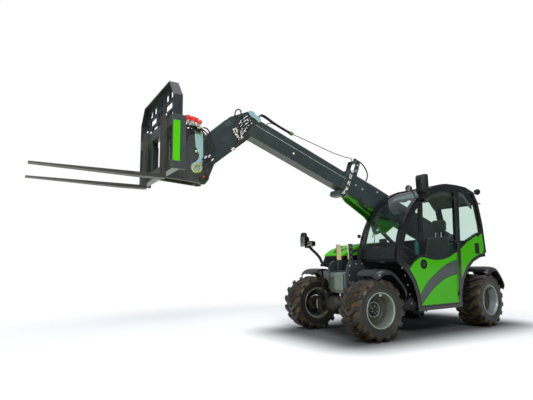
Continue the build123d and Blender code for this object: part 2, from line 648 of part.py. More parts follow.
# panes sit in their openings, in a seal as thick as the named gap
panes = [("door_glass", door_window, cab_left - 22), ("quarter_glass", quarter_window, cab_left - 22),
         ("right_glass", right_window, cab_right + 16), ("right_rear_glass", right_rear_window, cab_right + 16)]
for node, opening, pane_y in panes:
    with BuildSketch() as pane_shape:
        add(opening.sketch)
        offset(amount=-fit, mode=Mode.REPLACE)
    with BuildPart() as pane:
        side_cut(pane_shape.sketch, pane_y, pane_y + glass_thickness, Mode.ADD)
    save(pane.part, node)
with BuildPart() as windscreen:
    with BuildSketch() as pane_shape:
        add(cab_outline.sketch)
        offset(amount=-14, mode=Mode.REPLACE)
    with BuildSketch() as pane_hollow:
        add(cab_outline.sketch)
        offset(amount=-14 - glass_thickness, mode=Mode.REPLACE)
    side_cut(pane_shape.sketch, cab_right + 60 + fit, cab_left - 60 - fit, Mode.ADD)
    side_cut(pane_hollow.sketch, cab_right + 59, cab_left - 59)
    block((wind_back_x + fit, front_x), (cab_right, cab_left), (wind_low_z + fit, 2300), Mode.INTERSECT)
save(windscreen.part, "windscreen")
with BuildPart() as rear_glass:
    side_cut(pane_shape.sketch, cab_right + 70 + fit, cab_left - 70 - fit, Mode.ADD)
    side_cut(pane_hollow.sketch, cab_right + 69, cab_left - 69)
    block((front_x - 2300, front_x - 1960 - fit), (cab_right, cab_left), (1300 + fit, 1830 - fit), Mode.INTERSECT)
save(rear_glass.part, "rear_glass")
with BuildPart() as quarter_panel:
    with BuildSketch() as panel_shape:
        add(quarter_shape.sketch)
        offset(amount=-fit, mode=Mode.REPLACE)
    side_cut(panel_shape.sketch, cab_left - door_thickness, cab_left, Mode.ADD)
save(quarter_panel.part, "quarter_panel")

# inside the cab
seat_y = (cab_left + foot_right) / 2
floor_z = sill_z + cab_wall
with BuildPart() as seat:
    block((front_x - 1470, front_x - 1130), (seat_y - 190, seat_y + 190), (floor_z + fit, floor_z + 330))
    block((front_x - 1530, front_x - 1050), (seat_y - 240, seat_y + 240), (floor_z + 330, floor_z + 450))
    slab(ahead([(-1530, floor_z + 450), (-1430, floor_z + 450), (-1550, floor_z + 1000), (-1640, floor_z + 990)]),
         seat_y - 220, seat_y + 220)
save(seat.part, "seat")
with BuildPart() as dash_console:
    slab(ahead([(-300, 960), (-300, 1150), (-440, 1160), (-590, 1060), (-590, cab_split_z - 40), (-480, 960)]),
         foot_right + cab_wall + 5, cab_left - 80)
    with BuildSketch() as inside:
        add(cab_inside.sketch)
        offset(amount=-fit, mode=Mode.REPLACE)
    side_cut(inside.sketch, cab_right, cab_left, Mode.INTERSECT)
save(dash_console.part, "dash_console")
wheel_tilt = Plane(origin=(front_x - 760, seat_y, 1110), x_dir=(0, 1, 0), z_dir=(-0.5, 0, 0.866))
with BuildPart() as steering_column:
    slab(ahead([(-790, floor_z + fit), (-720, floor_z + fit), (-735, 1135), (-790, 1105)]), seat_y - 40, seat_y + 40)
    with BuildSketch(wheel_tilt):
        Circle(180)
        Circle(155, mode=Mode.SUBTRACT)
        Rectangle(320, 30)
        Circle(45)
    extrude(amount=22)
save(steering_column.part, "steering_column")

# cowl at the windscreen's foot
with BuildPart() as cowl:
    with BuildSketch() as skin:
        add(cab_outline.sketch)
        offset(amount=18, mode=Mode.REPLACE)
    with BuildSketch() as behind_skin:
        add(cab_outline.sketch)
        offset(amount=fit, mode=Mode.REPLACE)
    side_cut(skin.sketch, cab_right, cab_left - 45, Mode.ADD)
    side_cut(behind_skin.sketch, cab_right - 1, cab_left)
    block((front_x - 700, front_x), (cab_right, cab_left - 45), (cab_foot[1] + 35, wind_low_z - 6), Mode.INTERSECT)
save(cowl.part, "cowl")

# mirrors and lamps
mirror_y = cab_left + 95
with BuildPart() as left_mirror:
    # a faceted housing that faces back, on a stem from the cab's edge
    with BuildSketch(Plane(origin=(front_x - 765, mirror_y, 2020), x_dir=(0, 1, 0), z_dir=(1, 0, 0))):
        Rectangle(170, 270)
    with BuildSketch(Plane(origin=(front_x - 680, mirror_y - 10, 2055), x_dir=(0, 1, 0), z_dir=(1, 0, 0))):
        Rectangle(60, 120)
    loft()
    block((front_x - 790, front_x - 765), (mirror_y - 85, mirror_y + 85), (1885, 2155))
    block((front_x - 895, front_x - 865), (cab_left + fit, cab_left + 60), (1800, 1830))
    block((front_x - 895, front_x - 755), (cab_left + 30, cab_left + 60), (1800, 1830))
    block((front_x - 785, front_x - 755), (cab_left + 30, cab_left + 60), (1800, 1900))
save(left_mirror.part, "left_mirror")
with BuildSketch() as outside:
    add(cab_outline.sketch)
    offset(amount=fit, mode=Mode.REPLACE)
lamp_y = cab_left - 50
with BuildPart() as work_lamps:
    # front lamp, rear lamp: shell radius, middle of its face, way it faces and foot on the roof's edge
    for radius, face_x, face_z, facing, foot in ((48, -640, 1975, 1, (-790, 1840)), (42, -2262, 2050, -1, (-2120, 1930))):
        with BuildSketch(Plane(origin=(front_x + face_x, lamp_y, face_z), x_dir=(0, 1, 0), z_dir=(-facing, 0, 0))):
            Circle(radius)
        extrude(amount=34)
        with BuildSketch(Plane(origin=(front_x + face_x - 34 * facing, lamp_y, face_z), x_dir=(0, 1, 0),
                               z_dir=(-facing, 0, 0))):
            Circle(radius)
        extrude(amount=34, taper=28)
        back_x = face_x - 40 * facing
        slab(ahead([(back_x, face_z + 12), (back_x, face_z - 16), foot, (foot[0] - 34 * facing, foot[1] + 26)]),
             lamp_y - 14, lamp_y + 14)
    side_cut(outside.sketch, cab_right - 50, cab_left + 50)
save(work_lamps.part, "work_lamps")
arm_x = front_x + 30
arm_foot_y = boom_y - frame_half - fit
with BuildPart() as mirror_stalk:
    block((front_x - 100, arm_x + 22), (arm_foot_y - 30, arm_foot_y), (920, 960))
    with BuildLine() as arm_line:
        FilletPolyline((arm_x, arm_foot_y - 15, 955), (arm_x, -440, 1050), (arm_x, -630, 1180),
                       (arm_x, -735, 1310), radius=90)
    with BuildSketch(Plane(origin=arm_line.line @ 0, x_dir=(1, 0, 0), z_dir=arm_line.line % 0)):
        Circle(22)
    sweep(path=arm_line.line)
    # headlamp, its cap and the indicator beside it
    block((arm_x - 55, arm_x + 65), (-850, -720), (1225, 1395))
    block((arm_x - 30, arm_x + 75), (-860, -745), (1395, 1450))
    block((arm_x - 30, arm_x + 60), (-680, -530), (1225, 1310))
save(mirror_stalk.part, "mirror_stalk")

# ---- boom ---------------------------------------------------------------------------------------
pad_gap = 0.5
collar_length = 46.0
nose_reach = 80.0           # how far the lower pad's carrier stands out of the collar
with BuildPart() as outer_boom:
    half = outer_width / 2
    slab([(-outer_tail, outer_bottom), (outer_length, outer_bottom), (outer_length, outer_top),
          (-outer_tail, outer_top)], boom_y - half, boom_y + half, boom_plane)
    slab([(-outer_tail + outer_wall, outer_bottom + outer_wall), (outer_length + 1, outer_bottom + outer_wall),
          (outer_length + 1, outer_top - outer_wall), (-outer_tail + outer_wall, outer_top - outer_wall)],
         boom_y - half + outer_wall, boom_y + half - outer_wall, boom_plane, Mode.SUBTRACT)
    # collar with its wear pads
    slab([(outer_length - collar_length, outer_bottom - 20), (outer_length, outer_bottom - 20),
          (outer_length, outer_top + 30), (outer_length - collar_length, outer_top + 30)],
         boom_y - half - 16, boom_y + half + 16, boom_plane)
    slab([(outer_length - pad_length, inner_bottom - pad_gap), (outer_length + 1, inner_bottom - pad_gap),
          (outer_length + 1, inner_top + pad_gap), (outer_length - pad_length, inner_top + pad_gap)],
         boom_y - inner_width / 2 - pad_gap, boom_y + inner_width / 2 + pad_gap, boom_plane, Mode.SUBTRACT)
    # the lower wear pad's carrier
    slab([(outer_length - collar_length, outer_bottom - 20), (outer_length, inner_bottom - 8),
          (outer_length + nose_reach, inner_bottom - 40), (outer_length + nose_reach, outer_bottom - 70),
          (outer_length + nose_reach / 2, outer_bottom - 80), (outer_length - collar_length, outer_bottom - 60)],
         boom_y - half, boom_y + half, boom_plane)
    disc((pivot_x, pivot_z), pivot_pin_radius + 35, boom_y - frame_inside + 1, boom_y + frame_inside - 1)
    disc((pivot_x, pivot_z), pivot_pin_radius + pin_fit, boom_y - 300, boom_y + 300, Mode.SUBTRACT)
save(outer_boom.part, "outer_boom")

lug_inner = 62.0            # the cylinder's barrel passes between the lugs
lug_outer = lug_inner + 20
along, above = lift_eye
lug_outline = [(along - 260, outer_bottom - fit), (along + 830, outer_bottom - fit), (along + 720, -225),
               (along + 300, -290), (along + 110, above + 10), (along + 60, above - 60), (along - 20, above - 75),
               (along - 75, above - 30)]
with BuildPart() as lift_bracket:
    for side in (-1, 1):
        edges = sorted((boom_y + side * lug_inner, boom_y + side * lug_outer))
        slab(lug_outline, edges[0], edges[1], boom_plane)
        # bosses that bring the pin up to the eye, and stand out on the other face
        edges = sorted((boom_y + side * (eye_half + 3), boom_y + side * (lug_outer + 12)))
        disc(boom_point(*lift_eye), lift_pin_radius + 12, *edges)
    slab([(along - 260, outer_bottom - fit), (along + 830, outer_bottom - fit), (along + 780, outer_bottom - 12),
          (along - 250, outer_bottom - 12)], boom_y - lug_outer, boom_y + lug_outer, boom_plane)
save(lift_bracket.part, "lift_bracket")

with BuildPart() as inner_boom:
    half = inner_width / 2
    tail = outer_length - inner_overlap
    slab([(tail, inner_bottom), (inner_length, inner_bottom), (inner_length, inner_top), (tail, inner_top)],
         boom_y - half, boom_y + half, boom_plane)
    slab([(tail, outer_bottom + outer_wall + pad_gap), (tail + pad_length, outer_bottom + outer_wall + pad_gap),
          (tail + pad_length, outer_top - outer_wall - pad_gap), (tail, outer_top - outer_wall - pad_gap)],
         boom_y - outer_width / 2 + outer_wall + pad_gap, boom_y + outer_width / 2 - outer_wall - pad_gap,
         boom_plane)
    slab([(tail - 1, inner_bottom + inner_wall), (inner_length - 30, inner_bottom + inner_wall),
          (inner_length - 30, inner_top - inner_wall), (tail - 1, inner_top - inner_wall)],
         boom_y - half + inner_wall, boom_y + half - inner_wall, boom_plane, Mode.SUBTRACT)
save(inner_boom.part, "inner_boom")

# goose-neck head: two cheeks round the tilt cylinder
cheek_inner = 60.0
cheek_outer = 85.0
tilt_pin_radius = 24.0
tilt_eye_half = 30.0
tilt_eye_pin_radius = 20.0
head_low, head_high = boom_point(inner_length + fit, inner_bottom), boom_point(inner_length + fit, inner_top)
head_outline = [head_low, head_high] + from_head(
    [(66, 214), (362, 82), (648, -174), (723, -292), (763, -512), (823, -702), (813, -782), (753, -824), (693, -817),
     (653, -752), (573, -556), (413, -427), (130, -200)])
web_outline = [head_low] + from_head(
    [(130, -200), (413, -427), (573, -556), (593, -536), (425, -410), (143, -182)]) + [
    boom_point(inner_length + fit, inner_bottom + 20)]
tilt_pin_at, tilt_eye_at, tilt_root_at = from_head([tilt_pin, tilt_eye, tilt_root])
with BuildPart() as boom_head:
    for side in (-1, 1):
        edges = sorted((boom_y + side * cheek_inner, boom_y + side * cheek_outer))
        slab(head_outline, *edges)
    slab(web_outline, boom_y - cheek_outer, boom_y + cheek_outer)
    slab([boom_point(inner_length + fit, inner_bottom), boom_point(inner_length + fit, inner_top),
          boom_point(inner_length + 20, inner_top), boom_point(inner_length + 20, inner_bottom)],
         boom_y - cheek_outer, boom_y + cheek_outer)
    disc(tilt_pin_at, 60, boom_y - cheek_outer, boom_y + cheek_outer)
    disc(tilt_root_at, tilt_eye_pin_radius, boom_y - cheek_outer, boom_y + cheek_outer)
    disc(tilt_pin_at, tilt_pin_radius + pin_fit, boom_y - 200, boom_y + 200, Mode.SUBTRACT)
save(boom_head.part, "boom_head")


# ---- cylinders ----------------------------------------------------------------------------------
piston_length = 26.0
# node stem, root pin, rod eye, root pin radius, eye radius, eye half width, barrel radius, barrel length,
# rod radius, rod length
cylinders = [
    ("lift", lift_root, boom_point(*lift_eye), lift_pin_radius, 50.0, eye_half, 55.0, 1080.0, 30.0, 1026.0),
    ("tilt", tilt_root_at, tilt_eye_at, tilt_eye_pin_radius, 40.0, tilt_eye_half, 42.0, 628.0, 20.0, 625.0)]
for stem, root, eye, pin_radius, eye_radius, half, barrel_radius, barrel_length, rod_radius, rod_length in cylinders:
    reach = hypot(eye[0] - root[0], eye[1] - root[1])
    line = line_plane(root, eye, boom_y)
    across = Plane(origin=line.origin, x_dir=(0, 1, 0), z_dir=line.x_dir)
    with BuildPart() as barrel:
        with BuildSketch(across.offset(eye_radius - 10)):
            Circle(barrel_radius)
        extrude(amount=barrel_length - eye_radius + 10)
        with BuildSketch(across.offset(eye_radius + 12)):
            Circle(barrel_radius - 8)
        extrude(amount=barrel_length - eye_radius - 52, mode=Mode.SUBTRACT)
        with BuildSketch(across.offset(barrel_length - 60)):
            Circle(rod_radius + pin_fit)
        extrude(amount=70, mode=Mode.SUBTRACT)
        disc(root, eye_radius, boom_y - half, boom_y + half)
        disc(root, pin_radius + pin_fit, boom_y - half - 1, boom_y + half + 1, Mode.SUBTRACT)
    save(barrel.part, stem + "_barrel")
    with BuildPart() as rod:
        with BuildSketch(across.offset(reach - rod_length)):
            Circle(rod_radius)
        extrude(amount=rod_length - eye_radius + 8)
        with BuildSketch(across.offset(reach - rod_length)):
            Circle(barrel_radius - 8 - pin_fit)
        extrude(amount=piston_length)
        disc(eye, eye_radius - 4, boom_y - half, boom_y + half)
        disc(eye, pin_radius, boom_y - half - 1, boom_y + half + 1, Mode.SUBTRACT)
    save(rod.part, stem + "_rod")

# ---- carriage -----------------------------------------------------------------------------------
lug_gap = 7.0               # between the head's cheeks and the carriage's lugs
lug_plate = 22.0
(back_x, low_z), (face_x, high_z) = from_head([(carriage_back, carriage_low), (carriage_front, carriage_high)])
low_bar = (low_z, low_z + 100)
high_bar = (high_z - 110, high_z)
lug_shape = from_head([(653, -752), (693, -807), (773, -812)]) + [(back_x, low_z), (back_x, high_z)] + from_head(
    [(773, -152), (718, -212), (743, -452), (663, -672)])
lug_outer_y = cheek_outer + lug_gap + lug_plate
with BuildPart() as carriage_frame:
    for bar in (low_bar, high_bar):
        block((back_x, face_x), (carriage_y - carriage_half, carriage_y + carriage_half), bar)
    for side in (-1, 1):
        # deep plate at each end, upright behind each fork, lug beside the boom head
        edges = sorted((carriage_y + side * (carriage_half - 22), carriage_y + side * carriage_half))
        block((face_x - 145, face_x), edges, (low_z, high_z))
        edges = sorted((boom_y + side * 180, boom_y + side * 240))
        block((back_x, face_x - 20), edges, (low_bar[1] - 5, high_bar[0] + 5))
        edges = sorted((boom_y + side * (cheek_outer + lug_gap), boom_y + side * lug_outer_y))
        slab(lug_shape, *edges)
    disc(tilt_pin_at, tilt_pin_radius, boom_y - lug_outer_y - 12, boom_y + lug_outer_y + 12)
save(carriage_frame.part, "carriage_frame")

# plate for the hose couplers, on the left lug, with a ring at its foot
hitch_y = boom_y + lug_outer_y + fit
ring_at = from_head([(822, -634)])[0]
with BuildPart() as hitch_plate:
    slab(from_head([(839, -171), (750, -158), (742, -232), (740, -560), (770, -640), (834, -569), (790, -513),
                    (786, -469), (833, -379), (846, -233)]), hitch_y, hitch_y + 12)
    disc(ring_at, 65, hitch_y, hitch_y + 22)
    disc(ring_at, 40, hitch_y + 8, hitch_y + 23, Mode.SUBTRACT)
save(hitch_plate.part, "hitch_plate")

(_, guard_top_z), (_, corner_z) = from_head([(0, guard_top), (0, guard_corner_z)])
guard_x = (face_x - 105, face_x)            # its rim is as deep as the carriage's end plates
grid_x = (face_x - 84, face_x - 62)
guard_rim = 12.0
guard_outline = [(-carriage_half, high_z + fit), (carriage_half, high_z + fit), (carriage_half, corner_z),
                 (guard_corner_half, guard_top_z), (-guard_corner_half, guard_top_z), (-carriage_half, corner_z)]
# window rows: low and high edge as shares of the height, then inner and outer edges of the windows on one side
grid_rows = [(0.04, 0.28, ((120, 310), (360, 600))), (0.36, 0.56, ((170, 420), (475, 600))),
             (0.64, 0.86, ((170, 290), (335, 500)))]
with BuildPart() as guard:
    across_guard = Plane(origin=(guard_x[0], carriage_y, 0), x_dir=(0, 1, 0), z_dir=(1, 0, 0))
    with BuildSketch(across_guard) as rim:
        Polygon(*guard_outline, align=None)
        offset(amount=-guard_rim, mode=Mode.SUBTRACT)
    extrude(rim.sketch, amount=guard_x[1] - guard_x[0])
    # open at its foot, where the carriage's high bar closes it
    block((guard_x[0] - 1, guard_x[1] + 1), (carriage_y - carriage_half + guard_rim, carriage_y + carriage_half - guard_rim),
          (high_z, high_z + guard_rim + 1), Mode.SUBTRACT)
    with BuildSketch(across_guard.offset(grid_x[0] - guard_x[0])) as grid:
        Polygon(*guard_outline, align=None)
        for low, high, columns in grid_rows:
            row_low, row_high = (high_z + share * (guard_top_z - high_z) for share in (low, high))
            for inner, outer in columns:
                for side in (-1, 1):
                    with Locations((side * (inner + outer) / 2, (row_low + row_high) / 2)):
                        Rectangle(outer - inner, row_high - row_low, mode=Mode.SUBTRACT)
        # plain upright slots in the middle plate
        for slot_y in (-45, 45):
            for low, high in ((0.06, 0.26), (0.36, 0.56), (0.64, 0.84)):
                row_low, row_high = (high_z + share * (guard_top_z - high_z) for share in (low, high))
                with Locations((slot_y, (row_low + row_high) / 2)):
                    Rectangle(50, row_high - row_low, mode=Mode.SUBTRACT)
    extrude(grid.sketch, amount=grid_x[1] - grid_x[0])
save(guard.part, "guard")

blade_top = from_head([(0, fork_top)])[0][1]
fork_hook = 35.0            # how far a fork stands over the carriage
for node, side in (("fork_left", 1), ("fork_right", -1)):
    fork_y = boom_y + side * fork_spacing
    tip_x = face_x + fork_thickness + fork_length
    with BuildPart() as fork:
        slab([(face_x + fit, blade_top - fork_thickness), (face_x + 300, blade_top - fork_thickness),
              (tip_x, blade_top - 10), (tip_x, blade_top), (face_x + fork_thickness, blade_top),
              (face_x + fork_thickness, high_z + fork_hook), (face_x - 30, high_z + fork_hook),
              (face_x - 30, high_z + fit), (face_x + fit, high_z + fit)],
             fork_y - fork_width / 2, fork_y + fork_width / 2)
    save(fork.part, node)
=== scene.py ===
"""Finishes of a compact telescopic handler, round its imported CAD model.

The sections follow the machine from the ground up: studio, wheels, knuckles and fenders, frame,
engine side, cab, boom, head and carriage. Metres, +X forwards, +Y the machine's left, +Z up.
"""
import json
import math

import bmesh
import bpy
from mathutils import Matrix, Vector


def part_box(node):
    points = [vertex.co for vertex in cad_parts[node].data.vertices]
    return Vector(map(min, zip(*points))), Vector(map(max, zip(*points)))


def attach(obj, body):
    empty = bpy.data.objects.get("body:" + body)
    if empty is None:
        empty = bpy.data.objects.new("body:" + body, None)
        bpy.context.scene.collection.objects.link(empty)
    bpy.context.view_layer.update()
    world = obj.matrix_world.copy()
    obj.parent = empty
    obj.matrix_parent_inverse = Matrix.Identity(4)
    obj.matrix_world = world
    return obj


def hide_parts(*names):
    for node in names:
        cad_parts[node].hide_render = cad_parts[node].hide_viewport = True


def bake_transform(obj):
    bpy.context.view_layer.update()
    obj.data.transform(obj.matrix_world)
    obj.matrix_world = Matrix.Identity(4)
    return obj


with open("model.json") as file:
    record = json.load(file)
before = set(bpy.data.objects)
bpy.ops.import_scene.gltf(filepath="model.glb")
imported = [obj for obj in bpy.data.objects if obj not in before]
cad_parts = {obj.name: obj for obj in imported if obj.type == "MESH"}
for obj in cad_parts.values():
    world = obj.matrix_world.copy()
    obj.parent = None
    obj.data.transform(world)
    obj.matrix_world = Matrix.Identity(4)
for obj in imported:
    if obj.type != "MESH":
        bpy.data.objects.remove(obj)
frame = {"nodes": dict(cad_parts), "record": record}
nodes = frame["nodes"]
joints = {joint["name"]: joint for joint in frame["record"]["behaviour"]["joints"]}
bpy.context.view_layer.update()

# ---- studio -----------------------------------------------------------------------------------
# A white sweep and soft lamps: the machine stands free on pale ground with one broad shadow, partly painted
# into the floor. The camera is low, off the left front corner, with a wide lens.


def linear(code):
    """An sRGB hex colour as the linear colour that Blender's sockets hold."""
    parts = [int(code[i:i + 2], 16) / 255 for i in (1, 3, 5)]
    return tuple(c / 12.92 if c <= 0.04045 else ((c + 0.055) / 1.055) ** 2.4 for c in parts) + (1.0,)


def put(tree, kind, settings=None, **links):
    """Adds a node. settings are its properties or socket values, links are sockets to feed."""
    node = tree.nodes.new(kind)
    for name, value in (settings or {}).items():
        if isinstance(name, int) or name in node.inputs:
            node.inputs[name].default_value = value
        else:
            setattr(node, name, value)
    for name, source in links.items():
        name = name.replace("_", " ")
        socket = node.inputs[int(name[2:])] if name.startswith("in") and name[2:].isdigit(
            ) else node.inputs[name]
        tree.links.new(source, socket)
    return node


def new_material(name):
    material = bpy.data.materials.new(name)
    material.use_nodes = True
    material.node_tree.nodes.clear()
    return material, material.node_tree


camera_data = bpy.data.cameras.new("camera")
camera_data.sensor_width = 36.0
camera_data.lens = 28.59
camera_data.clip_end = 200.0
camera = bpy.data.objects.new("camera", camera_data)
bpy.context.scene.collection.objects.link(camera)
heading, rise, roll = math.radians(-121.235), math.radians(8.416), math.radians(-0.72)
aim = Vector((math.cos(rise) * math.cos(heading), math.cos(rise) * math.sin(heading), math.sin(rise)))
level = aim.cross(Vector((0, 0, 1))).normalized()
upright = level.cross(aim)
right_axis = level * math.cos(roll) + upright * math.sin(roll)
up_axis = upright * math.cos(roll) - level * math.sin(roll)
camera.matrix_world = Matrix((
    (right_axis.x, up_axis.x, -aim.x, 3.481),
    (right_axis.y, up_axis.y, -aim.y, 4.608),
    (right_axis.z, up_axis.z, -aim.z, 0.988),
    (0, 0, 0, 1)))
bpy.context.scene.camera = camera
bpy.context.scene.view_settings.view_transform = "Standard"

ground_mesh = bpy.data.meshes.new("ground")
ground_mesh.from_pydata([(-60, -60, -0.001), (60, -60, -0.001), (60, 60, -0.001), (-60, 60, -0.001)], [],
    [(0, 1, 2, 3)])
ground = bpy.data.objects.new("ground", ground_mesh)
bpy.context.scene.collection.objects.link(ground)
ground_paint, tree = new_material("studio_white")
place = put(tree, "ShaderNodeNewGeometry")
# the sweep is darker under the machine's footprint: a painted shadow
centred = put(tree, "ShaderNodeVectorMath", {"operation": "SUBTRACT", 1: (-1.68, 0.0, 0.0)},
    in0=place.outputs["Position"])
folded = put(tree, "ShaderNodeVectorMath", {"operation": "ABSOLUTE"}, in0=centred.outputs[0])
beyond = put(tree, "ShaderNodeVectorMath", {"operation": "SUBTRACT", 1: (1.50, 0.60, 10.0)},
    in0=folded.outputs[0])
outside = put(tree, "ShaderNodeVectorMath", {"operation": "MAXIMUM", 1: (0, 0, 0)}, in0=beyond.outputs[0])
away = put(tree, "ShaderNodeVectorMath", {"operation": "LENGTH"}, in0=outside.outputs[0])
tone = put(tree, "ShaderNodeMapRange", {"From Min": 0.0, "From Max": 0.95,
        "interpolation_type": "SMOOTHSTEP"}, Value=away.outputs["Value"])
painted_shadow_tone = put(tree, "ShaderNodeMix", {"data_type": "RGBA", 6: linear("#606060"), 7: linear("#fafafa")},
    Factor=tone.outputs["Result"])
# the light that comes back up off the floor is that of a meadow, and only the eye sees white
ray = put(tree, "ShaderNodeLightPath")
turf_tone = put(tree, "ShaderNodeMix", {"data_type": "RGBA", 7: linear("#87902c")},
    Factor=ray.outputs["Is Diffuse Ray"], in6=painted_shadow_tone.outputs[2])
paper = put(tree, "ShaderNodeBsdfDiffuse", Color=turf_tone.outputs[2])
from_machine = put(tree, "ShaderNodeVectorMath", {"operation": "LENGTH"}, in0=place.outputs["Position"])
fade = put(tree, "ShaderNodeMapRange", {"From Min": 3.2, "From Max": 5.6,
        "interpolation_type": "SMOOTHSTEP"}, Value=from_machine.outputs["Value"])
glow = put(tree, "ShaderNodeMix", {"data_type": "RGBA", 6: (1, 1, 1, 1), 7: linear("#747d2a")},
    Factor=ray.outputs["Is Diffuse Ray"])
white = put(tree, "ShaderNodeEmission", {"Strength": 1.0}, Color=glow.outputs[2])
ground_mix = put(tree, "ShaderNodeMixShader", in0=fade.outputs["Result"], in1=paper.outputs[0],
    in2=white.outputs[0])
put(tree, "ShaderNodeOutputMaterial", Surface=ground_mix.outputs[0])
ground_mesh.materials.append(ground_paint)

world = bpy.data.worlds.new("studio")
world.use_nodes = True
bpy.context.scene.world = world
tree = world.node_tree
tree.nodes.clear()
seen = put(tree, "ShaderNodeLightPath")
# soft sky for the object, brighter overhead; plain white for the camera and through glass
spot = put(tree, "ShaderNodeTexCoord")
height = put(tree, "ShaderNodeSeparateXYZ", in0=spot.outputs["Generated"])
shade = put(tree, "ShaderNodeMapRange", {"From Min": -0.1, "From Max": 0.9, "To Min": 0.16, "To Max": 0.62},
    Value=height.outputs["Z"])
sky = put(tree, "ShaderNodeBackground", {"Color": linear("#e9f1fb")}, Strength=shade.outputs["Result"])
plain = put(tree, "ShaderNodeBackground", {"Color": (1, 1, 1, 1), "Strength": 1.0})
direct = put(tree, "ShaderNodeMath", {"operation": "MAXIMUM"}, in0=seen.outputs["Is Camera Ray"],
    in1=seen.outputs["Is Transmission Ray"])
world_mix = put(tree, "ShaderNodeMixShader", in0=direct.outputs[0], in1=sky.outputs[0],
    in2=plain.outputs[0])
put(tree, "ShaderNodeOutputWorld", Surface=world_mix.outputs[0])


def area_lamp(name, where, towards, size, power):
    data = bpy.data.lights.new(name, "AREA")
    data.shape = "RECTANGLE"
    data.size, data.size_y = size
    data.energy = power
    lamp = bpy.data.objects.new(name, data)
    lamp.location = where
    lamp.rotation_euler = (Vector(towards) - Vector(where)).to_track_quat("-Z", "Y").to_euler()
    bpy.context.scene.collection.objects.link(lamp)
    return lamp


area_lamp("key", (3.5, 7.5, 6.5), (-0.5, 0, 1.2), (4, 3), 600)
area_lamp("front", (9.0, 0.5, 4.0), (0, 0, 1.5), (3, 4), 160)
area_lamp("top", (-1.0, 0.0, 9.0), (-0.6, 0, 1.0), (9, 7), 390)
# grass-green light from below, as off a meadow, for the undersides
grass = area_lamp("grass", (2.2, 0.2, 0.02), (1.8, 0.0, 3.0), (3.5, 2.0), 200)
grass.data.color = (0.95, 0.85, 0.12)
grass.visible_camera = grass.visible_glossy = False

# ---- tyres ------------------------------------------------------------------------------------
# Wide flotation tyres of black rubber with two rows of chevron lugs, half a pitch apart. Tan yard
# dust lies between the lugs and on their edges; the lug tops and sidewalls are rubbed dark.


def dusty_rubber(name, colour, dust):
    material, tree = new_material(name)
    where = put(tree, "ShaderNodeTexCoord")
    laid = put(tree, "ShaderNodeAttribute", {"attribute_name": "dust"})
    # blotches a hand wide, and crumbs of about 4 mm in them
    blotch = put(tree, "ShaderNodeTexNoise", {"Scale": 16.0, "Detail": 5.0, "Roughness": 0.7},
        Vector=where.outputs["Object"])
    crumbs = put(tree, "ShaderNodeTexNoise", {"Scale": 240.0, "Detail": 3.0},
        Vector=where.outputs["Object"])
    uneven = put(tree, "ShaderNodeMapRange", {"From Min": 0.3, "From Max": 0.68, "To Min": 0.0,
            "To Max": 0.95}, Value=blotch.outputs["Fac"])
    share = put(tree, "ShaderNodeMath", {"operation": "MULTIPLY", "use_clamp": True},
        in0=laid.outputs["Fac"], in1=uneven.outputs["Result"])
    coat = put(tree, "ShaderNodeMix", {"data_type": "RGBA", 6: linear(colour), 7: linear(dust)},
        Factor=share.outputs[0])
    grain = put(tree, "ShaderNodeBump", {"Strength": 0.35, "Distance": 0.0015},
        Height=crumbs.outputs["Fac"])
    rough = put(tree, "ShaderNodeMapRange", {"To Min": 0.42, "To Max": 0.95}, Value=share.outputs[0])
    shader = put(tree, "ShaderNodeBsdfPrincipled", {"IOR": 1.52}, Base_Color=coat.outputs[2],
        Roughness=rough.outputs["Result"], Normal=grain.outputs["Normal"])
    put(tree, "ShaderNodeOutputMaterial", Surface=shader.outputs[0])
    return material


def new_mesh(name, points, faces):
    mesh = bpy.data.meshes.new(name)
    mesh.from_pydata([tuple(p) for p in points], [], faces)
    mesh.update()
    return mesh


def lathe(name, profile, steps, closed=True):
    """Turns (radius, out) points about Z: a ring, or a solid body if the profile is open at the axis."""
    points = [(r * math.cos(math.tau * i / steps), r * math.sin(math.tau * i / steps), w)
        for i in range(steps) for r, w in profile]
    n = len(profile)
    faces = []
    for i in range(steps):
        for k in range(n if closed else n - 1):
            a, b = i * n + k, i * n + (k + 1) % n
            c, d = (i + 1) % steps * n + (k + 1) % n, (i + 1) % steps * n + k
            faces.append((a, b, c, d))
    mesh = new_mesh(name, points, faces)
    shell = bmesh.new()
    shell.from_mesh(mesh)
    bmesh.ops.remove_doubles(shell, verts=shell.verts, dist=1e-6)
    bmesh.ops.recalc_face_normals(shell, faces=shell.faces)
    shell.to_mesh(mesh)
    shell.free()
    return mesh


def merged(name, meshes):
    """One mesh of several; float attributes called dust are kept."""
    whole = bmesh.new()
    for mesh in meshes:
        whole.from_mesh(mesh)
    result = bpy.data.meshes.new(name)
    whole.to_mesh(result)
    whole.free()
    return result


